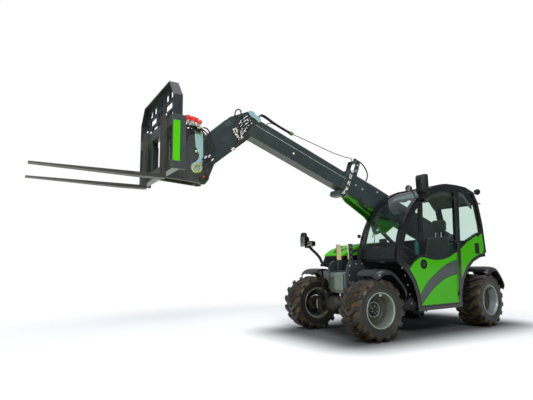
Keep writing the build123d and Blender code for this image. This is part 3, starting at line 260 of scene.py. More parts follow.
def repeated(name, mesh, count, step=(0, 0, 0), turn=0.0, material=None):
    """Geometry Nodes: count copies of a mesh, each one step further and one turn further about Z."""
    tree = bpy.data.node_groups.new(name + "_rule", "GeometryNodeTree")
    for label, kind in (("Geometry", "NodeSocketGeometry"), ("Count", "NodeSocketInt"),
        ("Step", "NodeSocketVector"), ("Turn", "NodeSocketFloat")):
        tree.interface.new_socket(label, in_out="INPUT", socket_type=kind)
    tree.interface.new_socket("Geometry", in_out="OUTPUT", socket_type="NodeSocketGeometry")
    given = put(tree, "NodeGroupInput")
    line = put(tree, "GeometryNodeMeshLine", Count=given.outputs["Count"], Offset=given.outputs["Step"])
    number = put(tree, "GeometryNodeInputIndex")
    angle = put(tree, "ShaderNodeMath", {"operation": "MULTIPLY"}, in0=number.outputs[0],
        in1=given.outputs["Turn"])
    turned = put(tree, "FunctionNodeAxisAngleToRotation", {"Axis": (0, 0, 1)}, Angle=angle.outputs[0])
    copies = put(tree, "GeometryNodeInstanceOnPoints", Points=line.outputs[0],
        Instance=given.outputs["Geometry"], Rotation=turned.outputs[0])
    real = put(tree, "GeometryNodeRealizeInstances", in0=copies.outputs[0])
    finish = put(tree, "GeometryNodeSetMaterial", {"Material": material}, Geometry=real.outputs[0])
    put(tree, "NodeGroupOutput", in0=finish.outputs[0])
    carrier = bpy.data.objects.new(name + "_carrier", mesh)
    bpy.context.scene.collection.objects.link(carrier)
    rule = carrier.modifiers.new("rule", "NODES")
    rule.node_group = tree
    sizes = {"Count": count, "Step": step, "Turn": turn}
    for socket in tree.interface.items_tree:
        if socket.in_out == "INPUT" and socket.name in sizes:
            rule[socket.identifier] = sizes[socket.name]
    bpy.context.view_layer.update()
    result = bpy.data.meshes.new_from_object(carrier.evaluated_get(bpy.context.evaluated_depsgraph_get()))
    carrier.modifiers.clear()
    bpy.data.objects.remove(carrier)
    return result


def piece(name, mesh, material, body, smooth=0.0, edge=0.0):
    """Makes a mesh a piece that rides on a body, with soft corners up to smooth degrees and rounded edges."""
    mesh.materials.clear()
    mesh.materials.append(material)
    if smooth:
        mesh.shade_smooth()
        mesh.set_sharp_from_angle(angle=math.radians(smooth))
    thing = bpy.data.objects.new(name, mesh)
    bpy.context.scene.collection.objects.link(thing)
    if edge:
        rounding = thing.modifiers.new("rounding", "BEVEL")
        rounding.width = edge
        rounding.segments = 2
        rounding.limit_method = "ANGLE"
        rounding.angle_limit = math.radians(35)
        rounding.harden_normals = False
    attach(thing, body)
    return thing


def wheel_place(corner):
    """Where a wheel's own frame is: x up, y forwards, z outward along the spindle."""
    spin = joints["spin_" + corner]
    outward = Vector(spin["axis"]) * (1 if corner[1] == "l" else -1)
    forwards = Vector((outward.y, -outward.x, 0)) * (1 if corner[1] == "l" else -1)
    middle = Vector(spin["pos_m"])
    return Matrix(((0, forwards.x, outward.x, middle.x), (0, forwards.y, outward.y, middle.y),
            (1, 0, outward.z, middle.z), (0, 0, 0, 1)))


def set_in_wheel(mesh, corner, angle=0.0):
    """A copy of a mesh drawn in a wheel's own frame, turned about the spindle and put in its place."""
    copy = mesh.copy()
    copy.transform(wheel_place(corner) @ Matrix.Rotation(angle, 4, "Z"))
    if corner[1] == "r":
        copy.flip_normals()
    return copy


corners = ("fl", "fr", "rl", "rr")
lugs_a_side = 16
tread_radius = 0.386
draft = 0.007               # how much wider the lug's foot is than its top, each way
# the lug from the shoulder to past the middle: out from the wheel's middle, trailing and leading
# edge round the tread, and the radius of its top and of its foot
lug_ribs = [(0.1940, -0.093, -0.037, 0.336, 0.318), (0.1925, -0.093, -0.031, 0.362, 0.330),
    (0.182, -0.088, -0.028, 0.3785, 0.338), (0.150, -0.070, -0.009, 0.3835, 0.343),
    (0.105, -0.043, 0.019, 0.3855, 0.346), (0.060, -0.016, 0.046, 0.3862, 0.346),
    (0.018, 0.009, 0.072, 0.3862, 0.346), (-0.018, -0.006, 0.058, 0.3862, 0.346),
    (-0.048, -0.012, 0.032, 0.3862, 0.346)]


def lug_mesh(side, shift):
    """One lug on the right or left half of the tread, its base wider than its top."""
    points, faces, dust = [], [], []
    for out, low, high, top, foot in lug_ribs:
        for v, r, d in ((low - draft, foot, 0.75), (low, top - 0.005, 0.25), (low + 0.005, top, 0.62),
            (low + 0.010, top, 0.0), (high - 0.010, top, 0.0), (high - 0.005, top, 0.62),
            (high, top - 0.005, 0.25), (high + draft, foot, 0.75)):
            angle = v / tread_radius + shift
            points.append((r * math.cos(angle), r * math.sin(angle), out * side))
            dust.append(d)
    for k in range(len(lug_ribs) - 1):
        for j in range(8):
            a, b = 8 * k + j, 8 * k + (j + 1) % 8
            faces.append((a, b, b + 8, a + 8))
    last = 8 * (len(lug_ribs) - 1)
    faces += [(7, 6, 5, 4, 3, 2, 1, 0), tuple(range(last, last + 8))]
    mesh = new_mesh("lug", points, faces)
    shell = bmesh.new()
    shell.from_mesh(mesh)
    bmesh.ops.recalc_face_normals(shell, faces=shell.faces)
    shell.to_mesh(mesh)
    shell.free()
    mesh.attributes.new("dust", "FLOAT", "POINT").data.foreach_set("value", dust)
    return mesh


rubber = dusty_rubber("dusty_tyre_rubber", "#0c0c0b", "#6e5842")
pitch = math.tau / lugs_a_side
one_pair = merged("lug_pair", [lug_mesh(1, 0.0), lug_mesh(-1, pitch / 2)])
tread = repeated("tread", one_pair, lugs_a_side, turn=pitch, material=rubber)
# half a carcass: radius, out, and how much dust lies there; fine rings stand on the sidewall
half_carcass = [(0.3520, 0.0, 0.75), (0.3517, 0.08, 0.75), (0.3505, 0.14, 0.7), (0.346, 0.166, 0.55),
    (0.338, 0.181, 0.3), (0.328, 0.1885, 0.2), (0.321, 0.1915, 0.1), (0.3185, 0.1945, 0.3),
    (0.3145, 0.1945, 0.3), (0.312, 0.1925, 0.05), (0.298, 0.1940, 0.03), (0.285, 0.1940, 0.03),
    (0.2825, 0.1922, 0.02), (0.268, 0.1922, 0.02), (0.2655, 0.1945, 0.22), (0.2625, 0.1945, 0.22),
    (0.260, 0.192, 0.02), (0.243, 0.190, 0.04), (0.231, 0.186, 0.3), (0.226, 0.181, 0.25),
    (0.2085, 0.176, 0.08)]
carcass_line = half_carcass + [(r, -w, d) for r, w, d in reversed(half_carcass[1:])]
carcass_steps = 96
carcass = lathe("carcass", [(r, w) for r, w, _ in carcass_line], carcass_steps)


def dust_by_place(mesh):
    """Dust on the carcass follows the distance from the spindle and from the wheel's middle."""
    values = []
    for vertex in mesh.vertices:
        r, w = math.hypot(vertex.co.x, vertex.co.y), abs(vertex.co.z)
        values.append(min(half_carcass, key=lambda rib: abs(rib[0] - r) + abs(rib[1] - w))[2])
    mesh.attributes.new("dust", "FLOAT", "POINT").data.foreach_set("value", values)


dust_by_place(carcass)
whole_tyre = merged("tyre", [carcass, tread])
for number, corner in enumerate(corners):
    tyre = piece("tread_tyre_" + corner, set_in_wheel(whole_tyre, corner, 0.35 * number), rubber,
        "wheel_" + corner, smooth=32)
    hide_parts("tyre_" + corner)

# ---- wheels -----------------------------------------------------------------------------------
# Pressed and rolled steel wheels, sprayed a pale silver that has gone greenish. The disc sits deep
# inside the barrel, coned towards a wide hub hole, with nuts round it and a clip for the valve; disc
# and nuts are painted dark, as painted shade deep in the barrel.


def enamel(name, colour, gloss, dust="#8a8478", dust_share=0.18, edge_wear_and_highlight=None, edge_wear_and_highlight_share=0.0,
    edge=0.004, fleck=0.0, cloud_scale=2.6, shine=0.5):
    """Sprayed paint: thin orange peel, soft patches of dust, and rounded edges lightened as wear and a
    painted highlight.
    """
    material, tree = new_material(name)
    where = put(tree, "ShaderNodeTexCoord")
    cloud = put(tree, "ShaderNodeTexNoise", {"Scale": cloud_scale, "Detail": 6.0, "Roughness": 0.62},
        Vector=where.outputs["Object"])
    patches = put(tree, "ShaderNodeMapRange", {"From Min": 0.45, "From Max": 0.75, "To Max": dust_share},
        Value=cloud.outputs["Fac"])
    paint = put(tree, "ShaderNodeMix", {"data_type": "RGBA", 6: linear(colour), 7: linear(dust)},
        Factor=patches.outputs["Result"])
    round_edge = put(tree, "ShaderNodeBevel", {"samples": 4, "Radius": edge})
    colour_out = paint.outputs[2]
    # a lighter colour along the edges: partly rubbed wear, partly a painted highlight
    if edge_wear_and_highlight:
        flat = put(tree, "ShaderNodeNewGeometry")
        together = put(tree, "ShaderNodeVectorMath", {"operation": "DOT_PRODUCT"},
            in0=round_edge.outputs["Normal"], in1=flat.outputs["Normal"])
        at_edge = put(tree, "ShaderNodeMapRange",
            {"From Min": 0.995, "From Max": 0.9, "To Max": edge_wear_and_highlight_share}, Value=together.outputs["Value"])
        rubbed_and_lit_edge = put(tree, "ShaderNodeMix", {"data_type": "RGBA", 7: linear(edge_wear_and_highlight)},
            Factor=at_edge.outputs["Result"], in6=colour_out)
        colour_out = rubbed_and_lit_edge.outputs[2]
    # orange peel: ripples about 3 mm apart
    peel = put(tree, "ShaderNodeTexNoise", {"Scale": 330.0, "Detail": 2.0}, Vector=where.outputs["Object"])
    ripple = put(tree, "ShaderNodeBump", {"Strength": 0.05, "Distance": 0.0006}, Height=peel.outputs["Fac"],
        Normal=round_edge.outputs["Normal"])
    rough = put(tree, "ShaderNodeMapRange", {"From Min": 0.3, "From Max": 0.8, "To Min": gloss,
            "To Max": gloss + 0.18}, Value=cloud.outputs["Fac"])
    shader = put(tree, "ShaderNodeBsdfPrincipled",
        {"IOR": 1.5, "Specular IOR Level": shine, "Coat Weight": 0.3 if gloss < 0.35 else 0.0,
            "Coat Roughness": 0.06, "Metallic": fleck}, Base_Color=colour_out,
        Roughness=rough.outputs["Result"], Normal=ripple.outputs["Normal"])
    put(tree, "ShaderNodeOutputMaterial", Surface=shader.outputs[0])
    return material


wheel_silver = enamel("greenish_silver_wheel_enamel", "#949d9f", 0.30, dust="#6f7047",
    dust_share=0.45, edge_wear_and_highlight="#d7e0d4", edge_wear_and_highlight_share=0.75, fleck=0.65, cloud_scale=6.0)
# the disc and its nuts are painted dark olive: painted shade from deep inside the barrel
disc_painted_shade = enamel("dark_disc_enamel", "#2a2b24", 0.45, dust="#565136", dust_share=0.4,
    edge_wear_and_highlight="#7d8378", edge_wear_and_highlight_share=0.5, cloud_scale=8.0)
zinc = enamel("zinc_plated_steel", "#c9cbc8", 0.3, dust="#9d9a90", dust_share=0.25,
    fleck=0.75, edge=0.0015, cloud_scale=12.0)
face, hub_hole = 0.034, 0.087
barrel_profile = [(0.2095, 0.1805), (0.2165, 0.1825), (0.2225, 0.1815), (0.2228, 0.1745), (0.2205, 0.1712),
    (0.2066, 0.170), (0.2066, -0.170), (0.2205, -0.1712), (0.2228, -0.1745), (0.2225, -0.1815),
    (0.2165, -0.1825), (0.2095, -0.1805), (0.2050, -0.174), (0.2005, -0.160), (0.1950, -0.154),
    (0.1945, -0.060), (0.1905, -0.054), (0.1905, 0.012), (0.1945, 0.018), (0.1945, 0.052), (0.1965, 0.058),
    (0.1965, 0.098), (0.2000, 0.104), (0.2000, 0.150), (0.2045, 0.158), (0.2055, 0.174)]
disc_profile = [(hub_hole, face), (0.108, face), (0.122, face), (0.136, face + 0.010),
    (0.147, face + 0.018), (0.170, face + 0.019), (0.184, face + 0.022), (0.192, face + 0.030),
    (0.1942, face + 0.033), (0.1942, face + 0.012), (0.186, face + 0.004), (0.168, face + 0.003),
    (0.150, face + 0.002), (0.140, face - 0.006), (0.126, face - 0.0135), (hub_hole, face - 0.0138)]
barrel = lathe("wheel_barrel", barrel_profile, 96)
wheel_disc = lathe("wheel_disc", disc_profile, 96)
hub_ring = lathe("hub_ring", [(hub_hole - 0.001, face - 0.002), (hub_hole - 0.001, face + 0.006),
        (hub_hole + 0.007, face + 0.008), (hub_hole + 0.009, face - 0.002)], 64)
nut = lathe("wheel_nut", [(0.0, face + 0.020), (0.007, face + 0.0195), (0.011, face + 0.016),
        (0.0125, face + 0.002), (0.016, face + 0.0015), (0.016, face - 0.001), (0.0, face - 0.001)], 6,
    closed=False)
nut.transform(Matrix.Translation((0.109, 0, 0)))
nuts = repeated("wheel_nuts", nut, 10, turn=math.tau / 10, material=disc_painted_shade)
# the valve's clip: a bent strap on the barrel
strap = [(0.1985, 0.094), (0.188, 0.100), (0.172, 0.104), (0.168, 0.112), (0.172, 0.121), (0.186, 0.125),
    (0.197, 0.132), (0.1995, 0.126), (0.188, 0.119), (0.177, 0.115), (0.176, 0.111), (0.190, 0.106),
    (0.1985, 0.101)]
clip = new_mesh("valve_clip", [(r, y, w) for y in (-0.018, 0.018) for r, w in strap],
    [tuple(range(13)), tuple(range(25, 12, -1))] + [(i, i + 13, (i + 1) % 13 + 13, (i + 1) % 13)
        for i in range(13)])
fixed_clip = bmesh.new()
fixed_clip.from_mesh(clip)
bmesh.ops.recalc_face_normals(fixed_clip, faces=fixed_clip.faces)
fixed_clip.to_mesh(clip)
fixed_clip.free()
for corner, valve_angle in (("fl", -0.25), ("fr", 2.2), ("rl", 0.4), ("rr", 1.4)):
    rim = piece("wheel_rim_" + corner, set_in_wheel(barrel, corner), wheel_silver, "wheel_" + corner,
        smooth=40)
    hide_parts("rim_" + corner)
    for name, mesh, finish in (("wheel_disc_", wheel_disc, disc_painted_shade),
        ("hub_ring_", hub_ring, wheel_silver), ("wheel_nuts_", nuts, disc_painted_shade)):
        piece(name + corner, set_in_wheel(mesh, corner), finish, "wheel_" + corner, smooth=40)
    piece("valve_clip_" + corner, set_in_wheel(clip, corner, valve_angle), zinc, "wheel_" + corner,
        edge=0.0015)

# ---- axles and knuckles -----------------------------------------------------------------------
# Cast and welded steel under black chassis paint, with road film over it. The hub's nose stands in
# the wheel's hole; clean plated links and hose clamps catch the light behind it.


def dress(material, *names):
    """Gives CAD nodes a material in place of their plain one."""
    for name in names:
        nodes[name].data.materials.clear()
        nodes[name].data.materials.append(material)


def tube(name, points, diameter, material, body):
    """A round bar, pipe or fixed hose along a smooth line through a few points."""
    curve = bpy.data.curves.new(name, "CURVE")
    curve.dimensions = "3D"
    curve.bevel_depth = diameter / 2
    curve.bevel_resolution = 3
    curve.resolution_u = 8
    curve.use_fill_caps = True
    line = curve.splines.new("NURBS")
    line.points.add(len(points) - 1)
    for control, place in zip(line.points, points):
        control.co = (*place, 1)
    line.order_u = 3
    line.use_endpoint_u = True
    curve.materials.append(material)
    thing = bpy.data.objects.new(name, curve)
    bpy.context.scene.collection.objects.link(thing)
    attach(thing, body)
    return thing


cast_black = enamel("black_chassis_enamel", "#131413", 0.4, dust="#4f493c", dust_share=0.4,
    edge_wear_and_highlight="#4a4842", edge_wear_and_highlight_share=0.5, cloud_scale=5.0, shine=0.3)
dress(cast_black, "front_axle", "rear_axle", "knuckle_fl", "knuckle_fr", "knuckle_rl", "knuckle_rr")


def set_on_knuckle(corner, ahead, out, up):
    """A point given ahead of, outboard of and above a kingpin's middle, with the wheel at rest."""
    steer, spin = joints["steer_" + corner], joints["spin_" + corner]
    side = 1 if corner[1] == "l" else -1
    outward = Vector(spin["axis"]) * side
    forwards = Vector((outward.y, -outward.x, 0)) * side
    return Vector(steer["pos_m"]) + forwards * ahead + outward * out + Vector((0, 0, up))


hub_cap = lathe("hub_cap", [(0.0, 0.060), (0.030, 0.0598), (0.034, 0.0565), (0.055, 0.0562), (0.058, 0.053),
        (0.0795, 0.041), (0.0795, 0.036), (0.0, 0.036)], 48, closed=False)
cap_screw = lathe("cap_screw", [(0.0, 0.0625), (0.0045, 0.062), (0.006, 0.060), (0.006, 0.050),
        (0.0, 0.050)], 8, closed=False)
cap_screw.transform(Matrix.Translation((0.0445, 0, 0)))
cap_screws = repeated("cap_screws", cap_screw, 6, turn=math.tau / 6, material=zinc)
for corner in corners:
    piece("hub_cap_" + corner, set_in_wheel(hub_cap, corner), cast_black, "knuckle_" + corner, smooth=35)
    piece("cap_screws_" + corner, set_in_wheel(cap_screws, corner), zinc, "knuckle_" + corner, smooth=40)
    # brake pipe with its clamps, round the back of the hub's drum
    tube("brake_pipe_" + corner, [set_on_knuckle(corner, *p)
            for p in ((-0.045, 0.02, 0.078), (0.0, 0.05, 0.112), (0.05, 0.09, 0.116),
                (0.075, 0.12, 0.075))], 0.012, zinc, "knuckle_" + corner)
    tube("knuckle_link_" + corner, [set_on_knuckle(corner, *p)
            for p in ((0.058, -0.022, -0.070), (0.060, -0.022, 0.0), (0.058, -0.022, 0.060))], 0.011, zinc,
        "knuckle_" + corner)

# ---- fenders ----------------------------------------------------------------------------------
# Deep-drawn sheets of satin black plastic over each tyre, flat on top, with the outer edge bent
# down and rounded corners. Each stands on a post that turns with its knuckle, held by one screw.
fender_plastic = enamel("satin_black_polypropylene", "#0e1012", 0.24, dust="#43474a",
    dust_share=0.25, edge_wear_and_highlight="#4a5258", edge_wear_and_highlight_share=0.6, edge=0.006, cloud_scale=6.0, shine=0.35)
# ahead of the axle and above the ground
fender_line = [(0.093, 0.802), (0.058, 0.828), (0.018, 0.862), (-0.030, 0.8810), (-0.115, 0.8825),
    (-0.178, 0.881), (-0.235, 0.842), (-0.294, 0.790), (-0.350, 0.726), (-0.402, 0.660), (-0.430, 0.600),
    (-0.461, 0.536)]
# out from the kingpin, and below the top
fender_section = [(0.022, 0.024), (0.023, 0.006), (0.030, 0.0), (0.130, 0.0), (0.250, 0.0), (0.345, 0.001),
    (0.400, 0.009), (0.432, 0.024), (0.446, 0.044), (0.4500, 0.064)]
fender_screw = lathe("fender_screw", [(0.0, 0.008), (0.006, 0.0075), (0.010, 0.004), (0.014, 0.001),
        (0.014, -0.003), (0.0, -0.003)], 12, closed=False)
for corner in corners:
    points = []
    for k, (x, z) in enumerate(fender_line):
        before, after = fender_line[max(k - 1, 0)], fender_line[min(k + 1, len(fender_line) - 1)]
        run = Vector((after[0] - before[0], 0, after[1] - before[1])).normalized()
        down = Vector((run.z, 0, -run.x)) * (-1 if run.x > 0 else 1)
        down = down if down.z < 0 or abs(run.x) < 0.3 and down.x > 0 else -down
        # the sheet narrows at both ends, as rounded corners
        end = min(math.hypot(x - fender_line[0][0], z - fender_line[0][1]),
            math.hypot(x - fender_line[-1][0], z - fender_line[-1][1]))
        pull = 0.05 * max(0.0, 1 - end / 0.06) ** 2
        for out, drop in fender_section:
            middle = 0.24
            out = middle + (out - middle) * (1 - pull / 0.21)
            points.append(set_on_knuckle(corner, x + down.x * drop, out, z - 0.3865 + down.z * drop))
    n = len(fender_section)
    faces = [(i * n + k, (i + 1) * n + k, (i + 1) * n + k + 1, i * n + k + 1)
        for i in range(len(fender_line) - 1) for k in range(n - 1)]
    mesh = new_mesh("fender_sheet", points, faces)
    if corner[1] == "r":
        mesh.flip_normals()
    fender = piece("fender_sheet_" + corner, mesh, fender_plastic, "knuckle_" + corner, smooth=50)
    wall = fender.modifiers.new("wall", "SOLIDIFY")
    wall.thickness = 0.007
    wall.offset = -1
    soft = fender.modifiers.new("soft", "SUBSURF")
    soft.levels = soft.render_levels = 1
    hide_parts("fender_" + corner)
    screw = fender_screw.copy()
    screw.transform(Matrix.Translation(set_on_knuckle(corner, -0.11, 0.20, 0.8825 - 0.3865)))
    piece("fender_screw_" + corner, screw, zinc, "knuckle_" + corner, smooth=40)

# ---- frame ------------------------------------------------------------------------------------
# Two flame-cut side plates in dark slate enamel, lighter along their edges as wear and a painted highlight,
# with the blue-grey nose box between them and bolted guide posts that catch the lowered boom on nylon pads.


def plate(name, outline, low, high):
    """A flat plate of an (x, z) outline between two y values."""
    n = len(outline)
    points = [(x, y, z) for y in (low, high) for x, z in outline]
    faces = [tuple(range(n)), tuple(range(2 * n - 1, n - 1, -1))] + [
        (i, i + n, (i + 1) % n + n, (i + 1) % n) for i in range(n)]
    mesh = new_mesh(name, points, faces)
    shell = bmesh.new()
    shell.from_mesh(mesh)
    bmesh.ops.recalc_face_normals(shell, faces=shell.faces)
    shell.to_mesh(mesh)
    shell.free()
    return mesh


def bar(low, high):
    """A straight bar between two corners, to be merged with others and rounded."""
    (x0, y0, z0), (x1, y1, z1) = low, high
    return plate("bar", [(x0, z0), (x1, z0), (x1, z1), (x0, z1)], y0, y1)


def rounded_loft(name, rings):
    """A closed body through rounded rectangles along +Z: z, half sizes, corner radius and middle."""
    points, faces, n = [], [], 20
    for z, a, b, r, cx, cy in rings:
        for corner_no, (sx, sy) in enumerate(((1, 1), (-1, 1), (-1, -1), (1, -1))):
            for k in range(5):
                angle = math.pi / 2 * (corner_no + k / 4)
                points.append((cx + sx * (a - r) + r * math.cos(angle),
                        cy + sy * (b - r) + r * math.sin(angle), z))
    for i in range(len(rings) - 1):
        faces += [(n * i + k, n * i + (k + 1) % n, n * (i + 1) + (k + 1) % n, n * (i + 1) + k)
            for k in range(n)]
    faces += [tuple(range(n - 1, -1, -1)), tuple(range(n * (len(rings) - 1), n * len(rings)))]
    return new_mesh(name, points, faces)


def hex_bolt(size):
    """A hexagon head on its washer, drawn along Z."""
    washer = lathe("washer", [(0.0, 0.0025), (size * 1.15, 0.0025), (size * 1.2, 0.0015),
            (size * 1.2, -0.002), (0.0, -0.002)], 16, closed=False)
    head = lathe("head", [(0.0, 0.0025 + size * 0.62), (size * 0.75, 0.0025 + size * 0.62),
            (size * 0.92, 0.0025 + size * 0.5), (size * 0.96, 0.002), (0.0, 0.002)], 6, closed=False)
    return merged("hex_bolt", [washer, head])


def facing(mesh, place, direction):
    """A copy of a mesh drawn along Z, set at a place with its Z along a direction."""
    copy = mesh.copy()
    copy.transform(Matrix.Translation(Vector(place)) @ Vector(direction).to_track_quat("Z", "Y").to_matrix(
            ).to_4x4())
    return copy


front_x = joints["steer_fl"]["pos_m"][0]


def behind_axle(*points):
    """Points given by how far they lie behind the front axle, moved to the machine's frame."""
    return [(front_x - back, *rest) for back, *rest in points]


slate = enamel("slate_enamel", "#313c42", 0.3, dust="#5c6565", dust_share=0.22,
    edge_wear_and_highlight="#7d8b92", edge_wear_and_highlight_share=0.35)
dark_slate = enamel("dark_slate_enamel", "#1e282e", 0.3, dust="#535b5d", dust_share=0.22,
    edge_wear_and_highlight="#8b98a0", edge_wear_and_highlight_share=0.6)
blue_grey = enamel("blue_grey_enamel", "#505e68", 0.3, dust="#777f7e", dust_share=0.22,
    edge_wear_and_highlight="#a9b4ba", edge_wear_and_highlight_share=0.4)
moulded_black = enamel("black_moulded_abs", "#08090a", 0.4, dust="#2c2d2c", dust_share=0.18,
    shine=0.25, edge_wear_and_highlight="#2c3032", edge_wear_and_highlight_share=0.4, edge=0.002, cloud_scale=9.0)
nylon = enamel("cream_nylon_pad", "#d8cba6", 0.5, dust="#8f8468", dust_share=0.45, edge=0.002,
    cloud_scale=20.0)
dress(dark_slate, "chassis_frame", "counterweight", "boom_guides")
dress(blue_grey, "nose_box")
nose_low, nose_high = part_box("nose_box")
frame_left, frame_right = nose_high[1] + 0.030, nose_low[1] - 0.030
# bolts down the plates' front edges and round the cut-out in each
bolt = hex_bolt(0.013)
left_bolts = [(-0.075, 0.93), (-0.062, 0.80), (-0.062, 0.70), (-0.19, 0.955), (-0.30, 0.955),
    (-0.42, 0.955)]
plate_bolts = [facing(bolt, (front_x + x, frame_left, z), (0, 1, 0)) for x, z in left_bolts]
plate_bolts += [facing(bolt, (front_x + x, frame_right, z), (0, -1, 0)) for x, z in left_bolts]
piece("plate_bolts", merged("plate_bolts", plate_bolts), zinc, "chassis", smooth=40)
# stiffening doubler with a round hole's rim on the left plate
doubler = plate("doubler", behind_axle((0.045, 0.66), (0.045, 0.885), (0.09, 0.955), (0.15, 0.985),
        (0.33, 0.985), (0.33, 0.90), (0.13, 0.84), (0.13, 0.66)), frame_left, frame_left + 0.006)
piece("frame_doubler", doubler, dark_slate, "chassis", edge=0.002)
ring = lathe("eye_ring", [(0.020, 0.006), (0.024, 0.008), (0.030, 0.008), (0.034, 0.005), (0.034, -0.002),
        (0.020, -0.002)], 32)
piece("frame_eye_ring", facing(ring, (front_x - 0.33, frame_left + 0.002, 1.02), (0, 1, 0)), slate,
    "chassis", smooth=40)
# nose box: the seam under its top edge, and a cover on its face
seam = plate("nose_seam", [(nose_high[0] - 0.024, nose_high[2] - 0.092),
        (nose_high[0] - 0.017, nose_high[2] - 0.092), (nose_high[0] - 0.017, nose_high[2] - 0.086),
        (nose_high[0] - 0.024, nose_high[2] - 0.086)], nose_low[1] + 0.006, nose_high[1] - 0.006)
cover = rounded_loft("nose_cover", [(0.0, 0.086, 0.118, 0.020, 0, 0), (0.010, 0.086, 0.118, 0.020, 0, 0),
        (0.018, 0.078, 0.110, 0.016, 0, 0)])
cover.transform(Matrix.Translation((nose_high[0] - 0.002, nose_high[1] - 0.104,
            nose_low[2] + 0.150)) @ Matrix(((0, 0, 1, 0), (1, 0, 0, 0), (0, 1, 0, 0), (0, 0, 0, 1))))
pale_grey = enamel("pale_blue_grey_enamel", "#606e77", 0.3, dust="#7c8483", dust_share=0.22,
    edge_wear_and_highlight="#c3ccd1", edge_wear_and_highlight_share=0.5)
piece("nose_cover", cover, pale_grey, "chassis", smooth=30)
piece("nose_seam", seam, moulded_black, "chassis", edge=0.001)
# guide posts' nylon pads, each on two countersunk screws
guide_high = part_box("boom_guides")[1]
boom_y = joints["boom_lift"]["pos_m"][1]
pads, screws = [], []
pad_screw = lathe("pad_screw", [(0.0, 0.002), (0.005, 0.0015), (0.007, 0.0), (0.007, -0.003),
        (0.0, -0.003)], 12, closed=False)
for side in (-1, 1):
    near, far = boom_y + side * 0.1062, boom_y + side * 0.1145
    pads.append(bar((front_x - 0.2035, min(near, far), 1.015),
            (front_x - 0.1465, max(near, far), guide_high[2] - 0.006)))
    outer = boom_y + side * 0.1405
    for z in (1.05, 1.12, 1.19):
        screws.append(facing(pad_screw, (front_x - 0.175, outer, z), (0, side, 0)))
    # the pad's edge strip that shows from ahead
    pads.append(bar((front_x - 0.1405, boom_y + side * 0.118 - 0.010, 1.020),
            (front_x - 0.1385, boom_y + side * 0.118 + 0.010, guide_high[2] - 0.012)))
piece("guide_pads", merged("guide_pads", pads), nylon, "chassis", edge=0.002)
piece("guide_screws", merged("guide_screws", screws), zinc, "chassis", smooth=40)
# hoses that run up between the plates behind the nose, and a marker strip
orange = enamel("orange_marker_plastic", "#e0661c", 0.4, dust="#8c5a38", dust_share=0.3,
    edge=0.001)
tube("marker_hose", behind_axle((0.58, frame_left + 0.012, 0.84), (0.575, frame_left + 0.016, 0.90),
        (0.58, frame_left + 0.012, 0.99)), 0.016, orange, "chassis")
for k, y in enumerate((0.066, 0.086)):
    tube("frame_hose_%d" % k, behind_axle((0.04, y, 0.66), (0.035, y, 0.76), (0.06, y, 0.87),
            (0.12, y, 0.90), (0.26, y, 0.89)), 0.016, moulded_black, "chassis")

# ---- engine side ------------------------------------------------------------------------------
# A lime hood of moulded plastic over a black bay with louvred panels, on the machine's right. A
# ribbed stalk from the bay's front foot carries a square headlamp and a second, smaller lamp.
lime = enamel("lime_enamel", "#46b800", 0.22, dust="#5c8a2a", dust_share=0.08,
    edge_wear_and_highlight="#8fd23a", edge_wear_and_highlight_share=0.25, shine=0.06)
violet_grey = enamel("violet_grey_moulded_trim", "#2e2c36", 0.42, dust="#5b5a60",
    dust_share=0.2, edge=0.002)
# lift bracket and barrel under the boom: the lime darkened as painted shade, with bright green painted
# highlights on the edges
deep_green = enamel("deep_green_enamel", "#2b7d08", 0.3, dust="#33502a", dust_share=0.5,
    edge_wear_and_highlight="#8fd23a", edge_wear_and_highlight_share=0.6, cloud_scale=5.0)
dress(lime, "hood", "quarter_panel", "door_panel")
dress(deep_green, "lift_bracket", "lift_barrel")
dress(moulded_black, "engine_bay")
dress(cast_black, "engine_block")
hood_low, hood_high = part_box("hood")
bay_low, bay_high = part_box("engine_bay")
trim_top = behind_axle((0.415, 1.117), (0.50, 1.150), (0.72, 1.208), (1.10, 1.247), (1.73, 1.256),
    (2.17, 1.248))
trim_foot = [(x, z - 0.040) for x, z in reversed(trim_top)]
trim_line = trim_top + trim_foot
# and a V of the same trim over the nose of the hood
slope = [(-0.883, 1.080), (-0.907, 1.112), (-1.014, 1.176), (-1.227, 1.245), (-1.627, 1.288)]


def on_hood(x, y):
    """A point on the hood's top, 1.5 mm above it."""
    for (x0, z0), (x1, z1) in zip(slope, slope[1:]):
        if x1 <= x <= x0:
            return (x, y, z0 + (z1 - z0) * (x - x0) / (x1 - x0) + 0.0015)


hood_middle = (hood_low[1] + hood_high[1]) / 2
nose_trim = []
for side in (-1, 1):
    points = []
    for k in range(17):
        x = -0.925 - 0.30 * k / 16
        y = hood_middle + side * (0.010 + 0.145 * k / 16)
        points += [on_hood(x, y), on_hood(x, y + side * 0.060)]
    nose_trim.append(new_mesh("v_trim", points, [(2 * k, 2 * k + 1, 2 * k + 3, 2 * k + 2)
                if side < 0 else (2 * k, 2 * k + 2, 2 * k + 3, 2 * k + 1) for k in range(16)]))
v_trim = piece("hood_v_trim", merged("hood_v_trim", nose_trim), violet_grey, "hood")
lift_up = v_trim.modifiers.new("wall", "SOLIDIFY")
lift_up.thickness = 0.003
lift_up.offset = 0
piece("hood_trim", merged("hood_trim", [plate("trim", trim_line, hood_high[1] - 0.001,
            hood_high[1] + 0.003), plate("trim", trim_line, hood_low[1] - 0.003, hood_low[1] + 0.001)]),
    violet_grey, "hood", edge=0.001)
hood_lip = bar((bay_low[0] + 0.02, hood_low[1] - 0.004, hood_low[2] + 0.004),
    (bay_high[0] - 0.09, hood_low[1] + 0.004, hood_low[2] + 0.020))
piece("hood_lip", hood_lip, moulded_black, "hood", edge=0.002)
